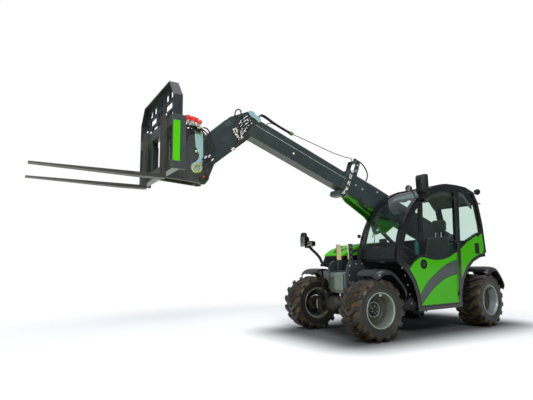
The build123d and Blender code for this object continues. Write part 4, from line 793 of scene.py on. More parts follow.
# louvres: one blade, repeated down each panel
blade = plate("blade", [(0, 0), (0.012, 0.004), (0.012, 0.012), (0.002, 0.018)], 0.0, 0.34)
blade.transform(Matrix.Translation((bay_high[0] - 0.006, bay_low[1] + 0.055, 0.905)))
piece("front_louvres", repeated("front_louvres", blade, 6, step=(0, 0, 0.030), material=moulded_black),
    moulded_black, "chassis", edge=0.001)
side_blade = bar((0, 0, 0), (0.62, 0.010, 0.016))
side_blade.transform(Matrix.Translation((front_x - 1.10, bay_low[1] - 0.006, 0.62)))
piece("side_louvres", repeated("side_louvres", side_blade, 12, step=(0, 0, 0.032), material=moulded_black),
    moulded_black, "chassis", edge=0.002)
rear_blade = bar((0, 0, 0), (0.44, 0.010, 0.016))
rear_blade.transform(Matrix.Translation((front_x - 2.10, bay_low[1] - 0.006, 0.915)))
piece("rear_louvres", repeated("rear_louvres", rear_blade, 4, step=(0, 0, 0.032), material=moulded_black),
    moulded_black, "chassis", edge=0.002)
side_seams = [bar((front_x - x - 0.004, bay_low[1] - 0.002, 0.50),
        (front_x - x + 0.004, bay_low[1] + 0.002, 1.07)) for x in (0.66, 1.16, 1.58)]
side_seams += [bar((front_x - 1.58, bay_low[1] - 0.002, 0.50), (front_x - 0.66, bay_low[1] + 0.002, 0.506)),
    bar((front_x - 2.20, bay_low[1] - 0.002, 1.07), (front_x - 0.42, bay_low[1] + 0.002, 1.076))]
piece("bay_seams", merged("bay_seams", side_seams), violet_grey, "chassis", edge=0.001)
latch = [facing(lathe("latch", [(0.0, 0.010), (0.014, 0.009), (0.019, 0.004), (0.020, -0.002),
            (0.0, -0.002)], 24, closed=False), (front_x - x, bay_low[1], 1.03), (0, -1, 0))
    for x in (0.55, 1.05, 1.70)]
piece("bay_latches", merged("latches", latch), zinc, "chassis", smooth=35)


def ribbed_hose(name, line, radius, rib, spacing, material, body):
    """Corrugated conduit along a few points: rings that swell and shrink along a smooth line."""
    knots = [Vector(p) for p in line]
    knots = [knots[0] * 2 - knots[1]] + knots + [knots[-1] * 2 - knots[-2]]
    path = []
    for i in range(1, len(knots) - 2):
        a, b, c, d = knots[i - 1:i + 3]
        for k in range(24):
            t = k / 24
            path.append(0.5 * ((2 * b) + (c - a) * t + (2 * a - 5 * b + 4 * c - d) * t * t + (
                        3 * b - a - 3 * c + d) * t ** 3))
    path.append(knots[-2])
    rings, done, points, faces = [path[0]], 0.0, [], []
    for before, after in zip(path, path[1:]):
        gap = (after - before).length
        while done + gap >= spacing / 2:
            share = (spacing / 2 - done) / gap
            before = before.lerp(after, share)
            rings.append(before)
            gap, done = (after - before).length, 0.0
            if gap < 1e-9:
                break
        done += gap
    side = Vector((0, 1, 0))
    for i, middle in enumerate(rings):
        run = (rings[min(i + 1, len(rings) - 1)] - rings[max(i - 1, 0)]).normalized()
        side = (side - run * side.dot(run)).normalized()
        up = run.cross(side)
        size = radius + (rib if i % 2 else 0)
        points += [middle + (side * math.cos(a) + up * math.sin(a)) * size
            for a in (math.tau * k / 14 for k in range(14))]
    for i in range(len(rings) - 1):
        faces += [(14 * i + k, 14 * i + (k + 1) % 14, 14 * (i + 1) + (k + 1) % 14, 14 * (i + 1) + k)
            for k in range(14)]
    faces += [tuple(range(13, -1, -1)), tuple(range(14 * (len(rings) - 1), 14 * len(rings)))]
    mesh = new_mesh(name, points, faces)
    shell = bmesh.new()
    shell.from_mesh(mesh)
    bmesh.ops.recalc_face_normals(shell, faces=shell.faces)
    shell.to_mesh(mesh)
    shell.free()
    return piece(name, mesh, material, body, smooth=60)


lamp_glass, tree = new_material("moulded_lamp_lens")
where = put(tree, "ShaderNodeTexCoord")
# pressed flutes about 6 mm apart
flutes = put(tree, "ShaderNodeTexWave", {"Scale": 52.0, "bands_direction": "Y"},
    Vector=where.outputs["Object"])
fluted = put(tree, "ShaderNodeBump", {"Strength": 0.5, "Distance": 0.002}, Height=flutes.outputs["Fac"])
shader = put(tree, "ShaderNodeBsdfPrincipled", {"Base Color": linear("#5a6468"), "Metallic": 0.55,
        "Roughness": 0.12, "Coat Weight": 1.0, "Coat Roughness": 0.02}, Normal=fluted.outputs["Normal"])
put(tree, "ShaderNodeOutputMaterial", Surface=shader.outputs[0])
mast_x = front_x + 0.03
ribbed_hose("lamp_stalk", [(mast_x, -0.343, 0.953), (mast_x, -0.395, 0.985), (mast_x, -0.44, 1.05),
        (mast_x, -0.53, 1.12), (mast_x, -0.63, 1.18), (mast_x, -0.735, 1.262)], 0.019, 0.0032, 0.017,
    moulded_black, "chassis")
lamp_frame = Matrix.Translation((mast_x - 0.048, -0.785, 1.312)) @ Matrix(
    ((0, 0, 1, 0), (1, 0, 0, 0), (0, 1, 0, 0), (0, 0, 0, 1)))
head_housing = rounded_loft("headlamp_housing", [(-0.005, 0.030, 0.040, 0.018, 0, 0),
        (0.010, 0.048, 0.062, 0.022, 0, 0), (0.040, 0.058, 0.078, 0.024, 0, 0),
        (0.092, 0.062, 0.083, 0.020, 0, 0), (0.104, 0.062, 0.083, 0.020, 0, 0),
        (0.104, 0.055, 0.076, 0.016, 0, 0), (0.096, 0.053, 0.074, 0.015, 0, 0)])
head_housing.transform(lamp_frame)
stalk_lamps = piece("headlamp_housing", head_housing, moulded_black, "chassis", smooth=38)
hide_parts("mirror_stalk")
head_lens = rounded_loft("headlamp_lens", [(0.095, 0.0545, 0.0755, 0.016, 0, 0),
        (0.102, 0.054, 0.075, 0.016, 0, 0), (0.108, 0.040, 0.060, 0.016, 0, 0)])
head_lens.transform(lamp_frame)
piece("headlamp_lens", head_lens, lamp_glass, "chassis", smooth=50)
cap = lathe("headlamp_cap", [(0.0, 0.050), (0.022, 0.048), (0.040, 0.040), (0.048, 0.026), (0.050, 0.008),
        (0.053, 0.004), (0.053, -0.004), (0.0, -0.004)], 32, closed=False)
cap.transform(Matrix.Translation((mast_x + 0.016, -0.803, 1.400)))
piece("headlamp_cap", cap, moulded_black, "chassis", smooth=40)
second_frame = Matrix.Translation((mast_x - 0.025, -0.612, 1.266)) @ Matrix(
    ((0, 0, 1, 0), (1, 0, 0, 0), (0, 1, 0, 0), (0, 0, 0, 1)))
second = rounded_loft("second_lamp", [(-0.004, 0.040, 0.022, 0.012, 0, 0),
        (0.012, 0.060, 0.036, 0.014, 0, 0), (0.066, 0.068, 0.041, 0.012, 0, 0),
        (0.078, 0.068, 0.041, 0.012, 0, 0), (0.078, 0.062, 0.035, 0.010, 0, 0),
        (0.072, 0.060, 0.033, 0.010, 0, 0)])
second.transform(second_frame)
piece("second_lamp", second, moulded_black, "chassis", smooth=38)
second_lens = rounded_loft("second_lens", [(0.070, 0.0605, 0.0335, 0.010, 0, 0),
        (0.076, 0.060, 0.033, 0.010, 0, 0), (0.080, 0.048, 0.024, 0.010, 0, 0)])
second_lens.transform(second_frame)
piece("second_lens", second_lens, lamp_glass, "chassis", smooth=50)
strap_plates = [bar((mast_x - 0.020, -0.745, 1.238), (mast_x + 0.012, -0.560, 1.246)),
    bar((mast_x - 0.020, -0.728, 1.215), (mast_x + 0.012, -0.716, 1.33)),
    bar((mast_x - 0.045, -0.77, 1.205), (mast_x + 0.03, -0.69, 1.232)),
    bar((front_x - 0.10, -0.40, 0.921), (front_x + 0.055, -0.332, 0.959))]
piece("lamp_straps", merged("lamp_straps", strap_plates), cast_black, "chassis", edge=0.003)
for k, line in enumerate(([(mast_x - 0.02, -0.845, 1.372), (mast_x - 0.05, -0.856, 1.345),
            (mast_x - 0.045, -0.852, 1.27), (mast_x - 0.03, -0.80, 1.222), (mast_x - 0.01, -0.735, 1.212)],
        [(mast_x + 0.02, -0.845, 1.415), (mast_x - 0.01, -0.858, 1.44), (mast_x - 0.04, -0.856, 1.40),
            (mast_x - 0.05, -0.84, 1.33)], [(mast_x - 0.02, -0.62, 1.232), (mast_x - 0.035, -0.655, 1.205),
            (mast_x - 0.02, -0.70, 1.20)])):
    tube("lamp_wire_%d" % k, line, 0.009, moulded_black, "chassis")
lamp_bolts = [facing(bolt, (mast_x + 0.012, y, z), (1, 0, 0))
    for y, z in ((-0.722, 1.225), (-0.735, 1.242))]
piece("lamp_bolts", merged("lamp_bolts", lamp_bolts), zinc, "chassis", smooth=40)

# ---- cab --------------------------------------------------------------------------------------
# A welded cab of bent tube, glossy black, with bonded green-tinted glass and a lime door panel.
# Inside are a grey moulded headliner, the seat on its suspension, dash, console and levers.
# the blue-grey along the cab frame's edges is a painted highlight as well as wear
cab_black = enamel("glossy_black_cab_enamel", "#030405", 0.12, dust="#0d0f10", dust_share=0.3,
    edge_wear_and_highlight="#55646f", edge_wear_and_highlight_share=0.55, shine=0.35)
seal = enamel("black_rubber_seal", "#0c0d0d", 0.55, dust="#3a3a38", dust_share=0.2,
    edge=0.0015, cloud_scale=9.0)
dome_grey = enamel("grey_headliner", "#58666a", 0.8, dust="#454f52", dust_share=0.3,
    edge=0.004, cloud_scale=7.0)
dress(cab_black, "cab_frame", "cab_base", "door")
dress(moulded_black, "dash_console", "steering_column")
navy_black = enamel("blue_black_cab_enamel", "#0a0f12", 0.18, dust="#2a3236", dust_share=0.2,
    edge_wear_and_highlight="#4e5c66", edge_wear_and_highlight_share=0.5)
dress(navy_black, "cowl")
door_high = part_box("door")[1]
panel_low, panel_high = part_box("door_panel")
base_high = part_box("cab_base")[1]
# the door's swoosh: a moulded strip that widens upwards, on a dark edging
swoosh_top = [(0.703, 0.527), (0.775, 0.612), (0.858, 0.689), (0.944, 0.750), (1.037, 0.799),
    (1.150, 0.864), (1.274, 0.921), (1.400, 0.962), (1.528, 0.990)]
swoosh_foot = [(0.720, 0.420), (0.800, 0.488), (0.892, 0.559), (1.000, 0.633), (1.123, 0.696),
    (1.219, 0.740), (1.319, 0.769), (1.417, 0.788), (1.517, 0.800)]
swoosh = [(front_x - x, z) for x, z in swoosh_top] + [(front_x - x, z) for x, z in reversed(swoosh_foot)]
wider = [(front_x - x - 0.002, z + 0.009) for x, z in swoosh_top] + [
    (front_x - x, max(z - 0.009, panel_low[2] + 0.004)) for x, z in reversed(swoosh_foot)]
piece("swoosh_edging", plate("swoosh_edging", wider, panel_high[1] - 0.001, panel_high[1] + 0.0015), seal,
    "door")
piece("swoosh", plate("swoosh", swoosh, panel_high[1] - 0.001, panel_high[1] + 0.0035), slate, "door",
    edge=0.001)
# rear post of the door: a satin strip with the hinges on it
post_strip = plate("post_strip", behind_axle((1.496, 0.41), (1.525, 0.41), (1.568, 1.10), (1.568, 1.97),
        (1.545, 1.97), (1.540, 1.10)), door_high[1] - 0.001, door_high[1] + 0.002)
piece("door_post_strip", post_strip, navy_black, "door", edge=0.001)
hinge_x = joints["door_swing"]["pos_m"][0]
hinges = [bar((hinge_x + 0.004, base_high[1] - 0.002, z - 0.032),
        (hinge_x + 0.040, base_high[1] + 0.008, z + 0.032)) for z in (1.87, 1.20)]
hinges += [facing(bolt, (hinge_x + 0.022, base_high[1] + 0.008, z + dz), (0, 1, 0)) for z in (1.87, 1.20)
    for dz in (-0.018, 0.018)]
piece("door_hinges", merged("door_hinges", hinges), cab_black, "door", edge=0.002)
# round handle recess, its flap and a ring
handle_at = (front_x - 0.808, panel_high[1], 0.943)
recess = lathe("handle_recess", [(0.0, -0.012), (0.036, -0.011), (0.050, -0.004), (0.054, 0.004),
        (0.063, 0.005), (0.067, 0.001), (0.067, -0.004), (0.0, -0.016)], 48, closed=False)
flap = rounded_loft("handle_flap", [(-0.010, 0.034, 0.020, 0.010, 0, 0), (0.003, 0.034, 0.020, 0.010, 0, 0),
        (0.006, 0.029, 0.015, 0.008, 0, 0)])
piece("handle_recess", facing(recess, handle_at, (0, 1, 0)), moulded_black, "door", smooth=35)
piece("handle_flap", facing(flap, handle_at, (0, 1, 0)), seal, "door", smooth=35)
# grip and lock knobs by the door post
knob = lathe("knob", [(0.0, 0.034), (0.015, 0.033), (0.021, 0.028), (0.022, 0.016), (0.014, 0.010),
        (0.010, 0.0), (0.010, -0.004), (0.0, -0.004)], 28, closed=False)
knobs = [facing(knob, (front_x - 1.505, door_high[1] - 0.012, 1.894), (0, 1, 0)),
    facing(knob, (front_x - 1.474, door_high[1] - 0.012, 1.264), (0, 1, 0))]
piece("door_knobs", merged("door_knobs", knobs), moulded_black, "door", smooth=40)
# quarter panel: a louvred vent and a knob
vent_low, vent_high = (front_x - 2.090, 1.082), (front_x - 1.985, 1.241)
quarter_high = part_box("quarter_panel")[1]
vent_rim = [bar((vent_low[0], quarter_high[1] - 0.002, vent_low[1]),
        (vent_high[0], quarter_high[1] + 0.004, vent_high[1]))]
piece("quarter_vent", merged("quarter_vent", vent_rim), moulded_black, "chassis", edge=0.003)
vent_blade = bar((vent_low[0] + 0.010, quarter_high[1] + 0.003, vent_low[1] + 0.010),
    (vent_high[0] - 0.010, quarter_high[1] + 0.009, vent_low[1] + 0.018))
piece("quarter_louvres", repeated("quarter_louvres", vent_blade, 10, step=(0, 0, 0.0145),
        material=moulded_black), moulded_black, "chassis", edge=0.001)
piece("quarter_knob", facing(knob, (front_x - 2.080, quarter_high[1] - 0.006, 1.368), (0, 1, 0)),
    moulded_black, "chassis", smooth=40)
# screws along the cab's black foot
foot_screws = [facing(pad_screw, (front_x - x, base_high[1], z), (0, 1, 0))
    for x, z in ((0.36, 0.90), (0.41, 0.80), (0.45, 0.68), (0.48, 0.56), (0.50, 0.44))]
piece("foot_screws", merged("foot_screws", foot_screws), zinc, "chassis", smooth=40)

# headliner: a moulded dome under the roof with a scalloped skirt
arc_a, arc_b, arc_c = Vector((-0.827, 0.985)), Vector((-1.167, 1.735)), Vector((-1.959, 2.100))
d = 2 * (arc_a.x * (arc_b.y - arc_c.y) + arc_b.x * (arc_c.y - arc_a.y) + arc_c.x * (arc_a.y - arc_b.y))
arc_middle = Vector(((arc_a.length_squared * (arc_b.y - arc_c.y) + arc_b.length_squared * (
            arc_c.y - arc_a.y) + arc_c.length_squared * (arc_a.y - arc_b.y)) / d,
        (arc_a.length_squared * (arc_c.x - arc_b.x) + arc_b.length_squared * (
            arc_a.x - arc_c.x) + arc_c.length_squared * (arc_b.x - arc_a.x)) / d))
arc_radius = (arc_a - arc_middle).length
points, faces = [], []
stations, rows = 26, 15
for i in range(stations):
    x = -1.46 - i * (2.60 - 1.46) / (stations - 1)
    under_arc = arc_middle.y + math.sqrt(max(0.0,
            (arc_radius - 0.062) ** 2 - (x - arc_middle.x) ** 2)) if x > -1.96 else 2.04
    ceiling = min(under_arc, 2.038, 2.038 - 0.9 * max(0.0, -2.40 - x))
    for k in range(rows):
        across = -1 + 2 * k / (rows - 1)
        y = 0.385 + 0.305 * max(-1, min(1, across * 1.25))
        skirt = max(0.0, abs(across) - 0.8) / 0.2
        dome = 0.020 * (1 - min(1, abs(across) * 1.25) ** 2)
        scallop = 0.075 + 0.030 * abs(math.sin(i * 0.62))
        points.append((x, y, ceiling - 0.012 + dome * 0.5 - skirt * scallop))
for i in range(stations - 1):
    faces += [(rows * i + k, rows * i + k + 1, rows * (i + 1) + k + 1, rows * (i + 1) + k)
        for k in range(rows - 1)]
headliner = piece("headliner", new_mesh("headliner", points, faces), dome_grey, "chassis", smooth=60)
wall = headliner.modifiers.new("wall", "SOLIDIFY")
wall.thickness = 0.010
wall.offset = 0
ceiling_ring = lathe("ceiling_ring", [(0.034, 0.0), (0.040, -0.004), (0.050, -0.006), (0.056, 0.0)], 32)
ceiling_ring.transform(Matrix.Translation((-1.72, 0.50, 1.945)))
piece("ceiling_ring", ceiling_ring, moulded_black, "chassis", smooth=40)

# mirror: a faceted shell on a bent arm, its glass to the rear
mirror_low, mirror_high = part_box("left_mirror")
turned = Matrix(((0, 0, 1, 0), (1, 0, 0, 0), (0, 1, 0, 0), (0, 0, 0, 1)))
shell_at = Matrix.Translation((mirror_high[0] - 0.112, 0.845, 2.020)) @ turned
mirror_shell = rounded_loft("mirror_shell", [(0.010, 0.070, 0.120, 0.016, 0, 0),
        (0.0, 0.078, 0.128, 0.020, 0, 0), (0.004, 0.083, 0.133, 0.022, 0, 0),
        (0.050, 0.083, 0.133, 0.022, 0, 0), (0.078, 0.066, 0.116, 0.018, 0, 0),
        (0.104, 0.040, 0.080, 0.014, 0.004, -0.006), (0.110, 0.030, 0.066, 0.012, 0.004, -0.006)])
mirror_shell.transform(shell_at)
mirror = piece("mirror_shell", mirror_shell, moulded_black, "chassis", smooth=24)
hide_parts("left_mirror")
silvered, tree = new_material("silvered_mirror_glass")
shader = put(tree, "ShaderNodeBsdfPrincipled", {"Base Color": linear("#dfe4e6"), "Metallic": 1.0,
        "Roughness": 0.03})
put(tree, "ShaderNodeOutputMaterial", Surface=shader.outputs[0])
mirror_glass = rounded_loft("mirror_glass", [(0.0085, 0.0695, 0.1195, 0.016, 0, 0),
        (0.0065, 0.0695, 0.1195, 0.016, 0, 0)])
mirror_glass.transform(shell_at)
shell = bmesh.new()
shell.from_mesh(mirror_glass)
bmesh.ops.recalc_face_normals(shell, faces=shell.faces)
shell.to_mesh(mirror_glass)
shell.free()
piece("mirror_glass", mirror_glass, silvered, "chassis")
arm_points = [(mirror_low[0] + 0.012, mirror_low[1] + 0.012, 1.815), (mirror_low[0] + 0.02, 0.80, 1.822),
    (mirror_high[0] - 0.10, 0.835, 1.83), (mirror_high[0] - 0.075, 0.845, 1.86),
    (mirror_high[0] - 0.075, 0.845, 1.93)]
tube("mirror_arm", arm_points, 0.020, moulded_black, "chassis")
foot = merged("mirror_foot", [bar((mirror_low[0], 0.7505, 1.802), (mirror_low[0] + 0.030, 0.772, 1.828)),
        bar((mirror_high[0] - 0.135, 0.785, 1.835), (mirror_high[0] - 0.065, 0.850, 1.885)),
        bar((mirror_high[0] - 0.125, 0.770, 1.868), (mirror_high[0] - 0.085, 0.800, 1.93))])
piece("mirror_foot", foot, moulded_black, "chassis", edge=0.003)

# work lamps: round pressed cups with a clear lens, on short brackets
cup = lathe("lamp_cup", [(0.0, -0.066), (0.018, -0.064), (0.030, -0.052), (0.044, -0.020), (0.047, -0.004),
        (0.048, 0.0), (0.046, 0.004), (0.041, 0.003), (0.039, -0.004), (0.0, -0.006)], 40, closed=False)
lens = lathe("lamp_lens", [(0.0, 0.006), (0.020, 0.005), (0.034, 0.001), (0.040, -0.003), (0.040, -0.006),
        (0.0, -0.006)], 40, closed=False)
front_lamp, rear_lamp = (front_x - 0.648, 0.700, 1.975), (front_x - 2.252, 0.700, 2.046)
cups = merged("lamp_cups", [facing(cup, front_lamp, (1, 0.05, -0.08)),
        facing(cup, rear_lamp, (-1, 0.05, -0.10))])
lamps = piece("work_lamp_cups", cups, moulded_black, "chassis", smooth=35)
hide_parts("work_lamps")
piece("work_lamp_lenses", merged("lenses", [facing(lens, front_lamp, (1, 0.05, -0.08)),
            facing(lens, rear_lamp, (-1, 0.05, -0.10))]), lamp_glass, "chassis", smooth=50)
for name, line in (("front_lamp_bracket", behind_axle((0.79, 0.70, 1.845), (0.76, 0.70, 1.91),
            (0.715, 0.70, 1.965))), ("rear_lamp_bracket",
        behind_axle((2.12, 0.70, 1.935), (2.15, 0.70, 2.02), (2.20, 0.70, 2.045)))):
    tube(name, line, 0.016, cab_black, "chassis")
tube("rear_stub_bar", behind_axle((2.20, 0.715, 1.86), (2.235, 0.72, 1.862), (2.262, 0.72, 1.855)), 0.018,
    cab_black, "chassis")

# wiper on the windscreen, its motor behind the glass
tube("wiper_arm", behind_axle((0.285, 0.364, 1.135), (0.300, 0.36, 1.20), (0.375, 0.30, 1.42),
        (0.475, 0.25, 1.62)), 0.010, seal, "chassis")
tube("wiper_blade", behind_axle((0.330, 0.300, 1.32), (0.435, 0.285, 1.55), (0.585, 0.262, 1.76)), 0.012,
    seal, "chassis")
motor = rounded_loft("wiper_motor", [(-0.05, 0.030, 0.028, 0.012, 0, 0), (-0.02, 0.055, 0.036, 0.014, 0, 0),
        (0.02, 0.058, 0.038, 0.014, 0, 0), (0.04, 0.040, 0.030, 0.012, 0, 0)])
motor.transform(Matrix.Translation((front_x - 0.345, 0.36, 1.150)) @ turned)
piece("wiper_motor", motor, cast_black, "chassis", smooth=35)

# seat: two foam cushions blown up a little, over rubber bellows and slides
fabric, tree = new_material("dark_green_seat_fabric")
where = put(tree, "ShaderNodeTexCoord")
weave = put(tree, "ShaderNodeTexNoise", {"Scale": 700.0, "Detail": 2.0}, Vector=where.outputs["Object"])
woven = put(tree, "ShaderNodeBump", {"Strength": 0.4, "Distance": 0.0008}, Height=weave.outputs["Fac"])
shader = put(tree, "ShaderNodeBsdfPrincipled", {"Base Color": linear("#14211d"), "Roughness": 0.85,
        "Sheen Weight": 0.3}, Normal=woven.outputs["Normal"])
put(tree, "ShaderNodeOutputMaterial", Surface=shader.outputs[0])
seat_y = sum(c[1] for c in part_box("seat")) / 2


def foam(name, mesh, limit):
    """A cushion: the form is remeshed, blown up by a cloth run with a cap on every point, and smoothed."""
    thing = bpy.data.objects.new(name, mesh)
    bpy.context.scene.collection.objects.link(thing)
    voxels = thing.modifiers.new("voxels", "REMESH")
    voxels.mode = "VOXEL"
    voxels.voxel_size = 0.010
    bpy.context.view_layer.update()
    fine = bpy.data.meshes.new_from_object(thing.evaluated_get(bpy.context.evaluated_depsgraph_get()))
    thing.modifiers.clear()
    thing.data = fine
    start = [v.co.copy() for v in fine.vertices]
    cloth = thing.modifiers.new("cloth", "CLOTH")
    cloth.settings.use_pressure = True
    cloth.settings.uniform_pressure_force = 4.0
    cloth.settings.effector_weights.gravity = 0.0
    for frame_no in range(1, 21):
        bpy.context.scene.frame_set(frame_no)
    blown = bpy.data.meshes.new_from_object(thing.evaluated_get(bpy.context.evaluated_depsgraph_get()))
    thing.modifiers.clear()
    for vertex, was in zip(blown.vertices, start):
        move = vertex.co - was
        if move.length > limit:
            vertex.co = was + move.normalized() * limit
    thing.data = blown
    bpy.context.scene.frame_set(1)
    thing.data.materials.clear()
    thing.data.materials.append(fabric)
    thing.data.shade_smooth()
    soft = thing.modifiers.new("soft", "SMOOTH")
    soft.iterations = 6
    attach(thing, "chassis")
    return thing


cushion = rounded_loft("cushion", [(0.712, 0.205, 0.205, 0.06, -1.815, seat_y),
        (0.735, 0.222, 0.222, 0.07, -1.815, seat_y), (0.79, 0.222, 0.222, 0.07, -1.812, seat_y),
        (0.807, 0.200, 0.200, 0.06, -1.805, seat_y)])
backrest = rounded_loft("backrest", [(0.842, 0.040, 0.195, 0.035, -2.008, seat_y),
        (0.90, 0.050, 0.205, 0.045, -2.018, seat_y), (1.20, 0.045, 0.200, 0.040, -2.075, seat_y),
        (1.33, 0.035, 0.180, 0.032, -2.108, seat_y), (1.352, 0.025, 0.16, 0.022, -2.112, seat_y)])
seat_cushion = foam("seat_cushion", cushion, 0.012)
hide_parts("seat")
foam("seat_backrest", backrest, 0.012)
headrest = rounded_loft("headrest", [(1.42, 0.030, 0.10, 0.026, -2.135, seat_y),
        (1.45, 0.040, 0.125, 0.036, -2.137, seat_y), (1.56, 0.038, 0.125, 0.034, -2.145, seat_y),
        (1.60, 0.025, 0.10, 0.022, -2.147, seat_y)])
foam("headrest", headrest, 0.010)
for k, y in enumerate((-0.05, 0.05)):
    tube("headrest_bar_%d" % k, [(-2.113, seat_y + y, 1.33), (-2.125, seat_y + y, 1.38),
            (-2.137, seat_y + y, 1.45)], 0.012, zinc, "chassis")
bellows = rounded_loft("bellows", [(z, 0.165 + (0.012 if k % 2 else 0), 0.185 + (0.012 if k % 2 else 0),
            0.04, -1.825, seat_y) for k, z in enumerate([0.46 + 0.0205 * j for j in range(12)])])
piece("seat_bellows", bellows, seal, "chassis", smooth=30)
seat_frame = merged("seat_frame", [bar((-2.03, seat_y - 0.20, 0.686), (-1.62, seat_y + 0.20, 0.705)),
        bar((-1.99, seat_y - 0.19, 0.374), (-1.66, seat_y + 0.19, 0.462)),
        bar((-2.09, seat_y - 0.205, 0.70), (-2.045, seat_y - 0.185, 1.00)),
        bar((-2.09, seat_y + 0.185, 0.70), (-2.045, seat_y + 0.205, 1.00))])
piece("seat_frame", seat_frame, moulded_black, "chassis", edge=0.006)
armrest = merged("armrest", [bar((-2.02, seat_y - 0.275, 0.955), (-1.66, seat_y - 0.215, 1.0)),
        bar((-2.02, seat_y + 0.215, 0.955), (-1.70, seat_y + 0.270, 0.995))])
piece("armrests", armrest, moulded_black, "chassis", edge=0.016)

# right-hand console with the lever, a display on a post, and a bottle
console = rounded_loft("console", [(0.376, 0.26, 0.045, 0.02, -1.62, 0.125),
        (0.86, 0.26, 0.050, 0.02, -1.62, 0.125), (0.90, 0.24, 0.046, 0.02, -1.62, 0.125)])
piece("side_console", console, moulded_black, "chassis", smooth=35)
grip = lathe("lever_grip", [(0.0, 0.150), (0.018, 0.146), (0.026, 0.130), (0.027, 0.105), (0.019, 0.080),
        (0.020, 0.055), (0.014, 0.042), (0.007, 0.040), (0.007, -0.07), (0.0, -0.07)], 24, closed=False)
piece("lever", facing(grip, (-1.50, 0.125, 0.965), (0.12, 0.05, 1)), seal, "chassis", smooth=50)
screen_pod = rounded_loft("display", [(0.0, 0.085, 0.055, 0.012, 0, 0), (0.018, 0.090, 0.060, 0.014, 0, 0),
        (0.030, 0.080, 0.050, 0.012, 0, 0)])
piece("display", facing(screen_pod, (-1.200, 0.160, 1.250), (-0.9, 0.25, 0.25)), moulded_black, "chassis",
    smooth=35)
tube("display_post", [(-1.19, 0.16, 1.05), (-1.185, 0.155, 1.14), (-1.190, 0.158, 1.24)], 0.018,
    moulded_black, "chassis")
teal = enamel("teal_moulded_plastic", "#1f6f6a", 0.4, dust="#33504e", dust_share=0.3,
    edge=0.002)
bottle = lathe("bottle", [(0.0, 0.24), (0.014, 0.238), (0.016, 0.205), (0.034, 0.185), (0.038, 0.165),
        (0.038, 0.012), (0.034, 0.0), (0.0, 0.0)], 32, closed=False)
bottle.transform(Matrix.Translation((-2.00, 0.10, 1.08)))
piece("bottle", bottle, teal, "chassis", smooth=40)
rear_shelf = bar((-2.66, 0.075, 1.055), (-2.22, 0.70, 1.085))
piece("rear_shelf", rear_shelf, moulded_black, "chassis", edge=0.008)
rear_tank = rounded_loft("shelf_case", [(1.088, 0.10, 0.16, 0.02, -2.44, 0.36),
        (1.24, 0.10, 0.16, 0.02, -2.44, 0.36), (1.26, 0.09, 0.15, 0.02, -2.44, 0.36)])
piece("shelf_case", rear_tank, teal, "chassis", smooth=35)
tube("grab_bar", [(-0.985, 0.665, 1.28), (-1.02, 0.660, 1.42), (-1.10, 0.655, 1.56), (-1.20, 0.655, 1.68)],
    0.020, cab_black, "chassis")
for k, y in enumerate((0.052, 0.072)):
    tube("pillar_hose_%d" % k, [(-0.91, y, 1.10), (-0.98, y, 1.36), (-1.10, y, 1.58), (-1.26, y, 1.75),
            (-1.47, y, 1.875)], 0.014, seal, "chassis")
pillar_lamp = rounded_loft("pillar_lamp", [(0.0, 0.010, 0.022, 0.006, 0, 0),
        (0.030, 0.012, 0.026, 0.008, 0, 0), (0.045, 0.010, 0.020, 0.006, 0, 0)])
pillar_lamp.transform(Matrix.Translation((-0.905, 0.009, 1.35)) @ turned)
piece("pillar_lamp", pillar_lamp, moulded_black, "chassis", smooth=35)

# ---- boom -------------------------------------------------------------------------------------
# Two welded box sections, slate enamel, the inner one sliding out of the outer one's collar. Steel
# pipes and rubber hoses run over the collar; a steel frame on top of it holds them clear.
boom_slate = enamel("boom_slate_enamel", "#29353b", 0.3, dust="#4c585c", dust_share=0.25,
    edge_wear_and_highlight="#74838a", edge_wear_and_highlight_share=0.4, cloud_scale=3.4, shine=0.35)
along, pivot = Vector(joints["boom_extend"]["axis"]), Vector(joints["boom_lift"]["pos_m"])
boom_frame = Matrix(((along.x, 0, -along.z, pivot.x), (0, 1, 0, pivot.y), (along.z, 0, along.x, pivot.z),
        (0, 0, 0, 1)))


def on_boom(s, n, y=0.0):
    """A point s along the boom from its pivot, n above its line and y to its left."""
    return boom_frame @ Vector((s, y, n))


def boom_line(*points):
    """Several such points, as a route."""
    return [on_boom(*point) for point in points]


# the sliding section has a pale painted highlight along a long seam on each side, and one plugged hole
sliding_slate = enamel("sliding_boom_slate_enamel", "#293439", 0.28, dust="#4f595b",
    dust_share=0.28, edge_wear_and_highlight="#7f8d92", edge_wear_and_highlight_share=0.4, cloud_scale=3.0, shine=0.35)
tree = sliding_slate.node_tree
base = next(node for node in tree.nodes if node.bl_idname == "ShaderNodeBsdfPrincipled")
under = base.inputs["Base Color"].links[0].from_socket
where = put(tree, "ShaderNodeTexCoord")
from_pivot = put(tree, "ShaderNodeVectorMath", {"operation": "SUBTRACT", 1: pivot},
    in0=where.outputs["Object"])
above = put(tree, "ShaderNodeVectorMath", {"operation": "DOT_PRODUCT", 1: (-along.z, 0, along.x)},
    in0=from_pivot.outputs[0])
off_seam = put(tree, "ShaderNodeMath", {"operation": "SUBTRACT", 1: 0.040}, in0=above.outputs["Value"])
near_seam = put(tree, "ShaderNodeMath", {"operation": "ABSOLUTE"}, in0=off_seam.outputs[0])
seam_highlight_mask = put(tree, "ShaderNodeMapRange", {"From Min": 0.0022, "From Max": 0.0040, "To Min": 0.75,
        "To Max": 0.0}, Value=near_seam.outputs[0])
seam_painted_highlight = put(tree, "ShaderNodeMix", {"data_type": "RGBA", 7: linear("#b7c3c4")},
    Factor=seam_highlight_mask.outputs["Result"], in6=under)
from_plug = put(tree, "ShaderNodeVectorMath", {"operation": "SUBTRACT", 1: on_boom(3.40, -0.037, 0.080)},
    in0=where.outputs["Object"])
plug_gap = put(tree, "ShaderNodeVectorMath", {"operation": "LENGTH"}, in0=from_plug.outputs[0])
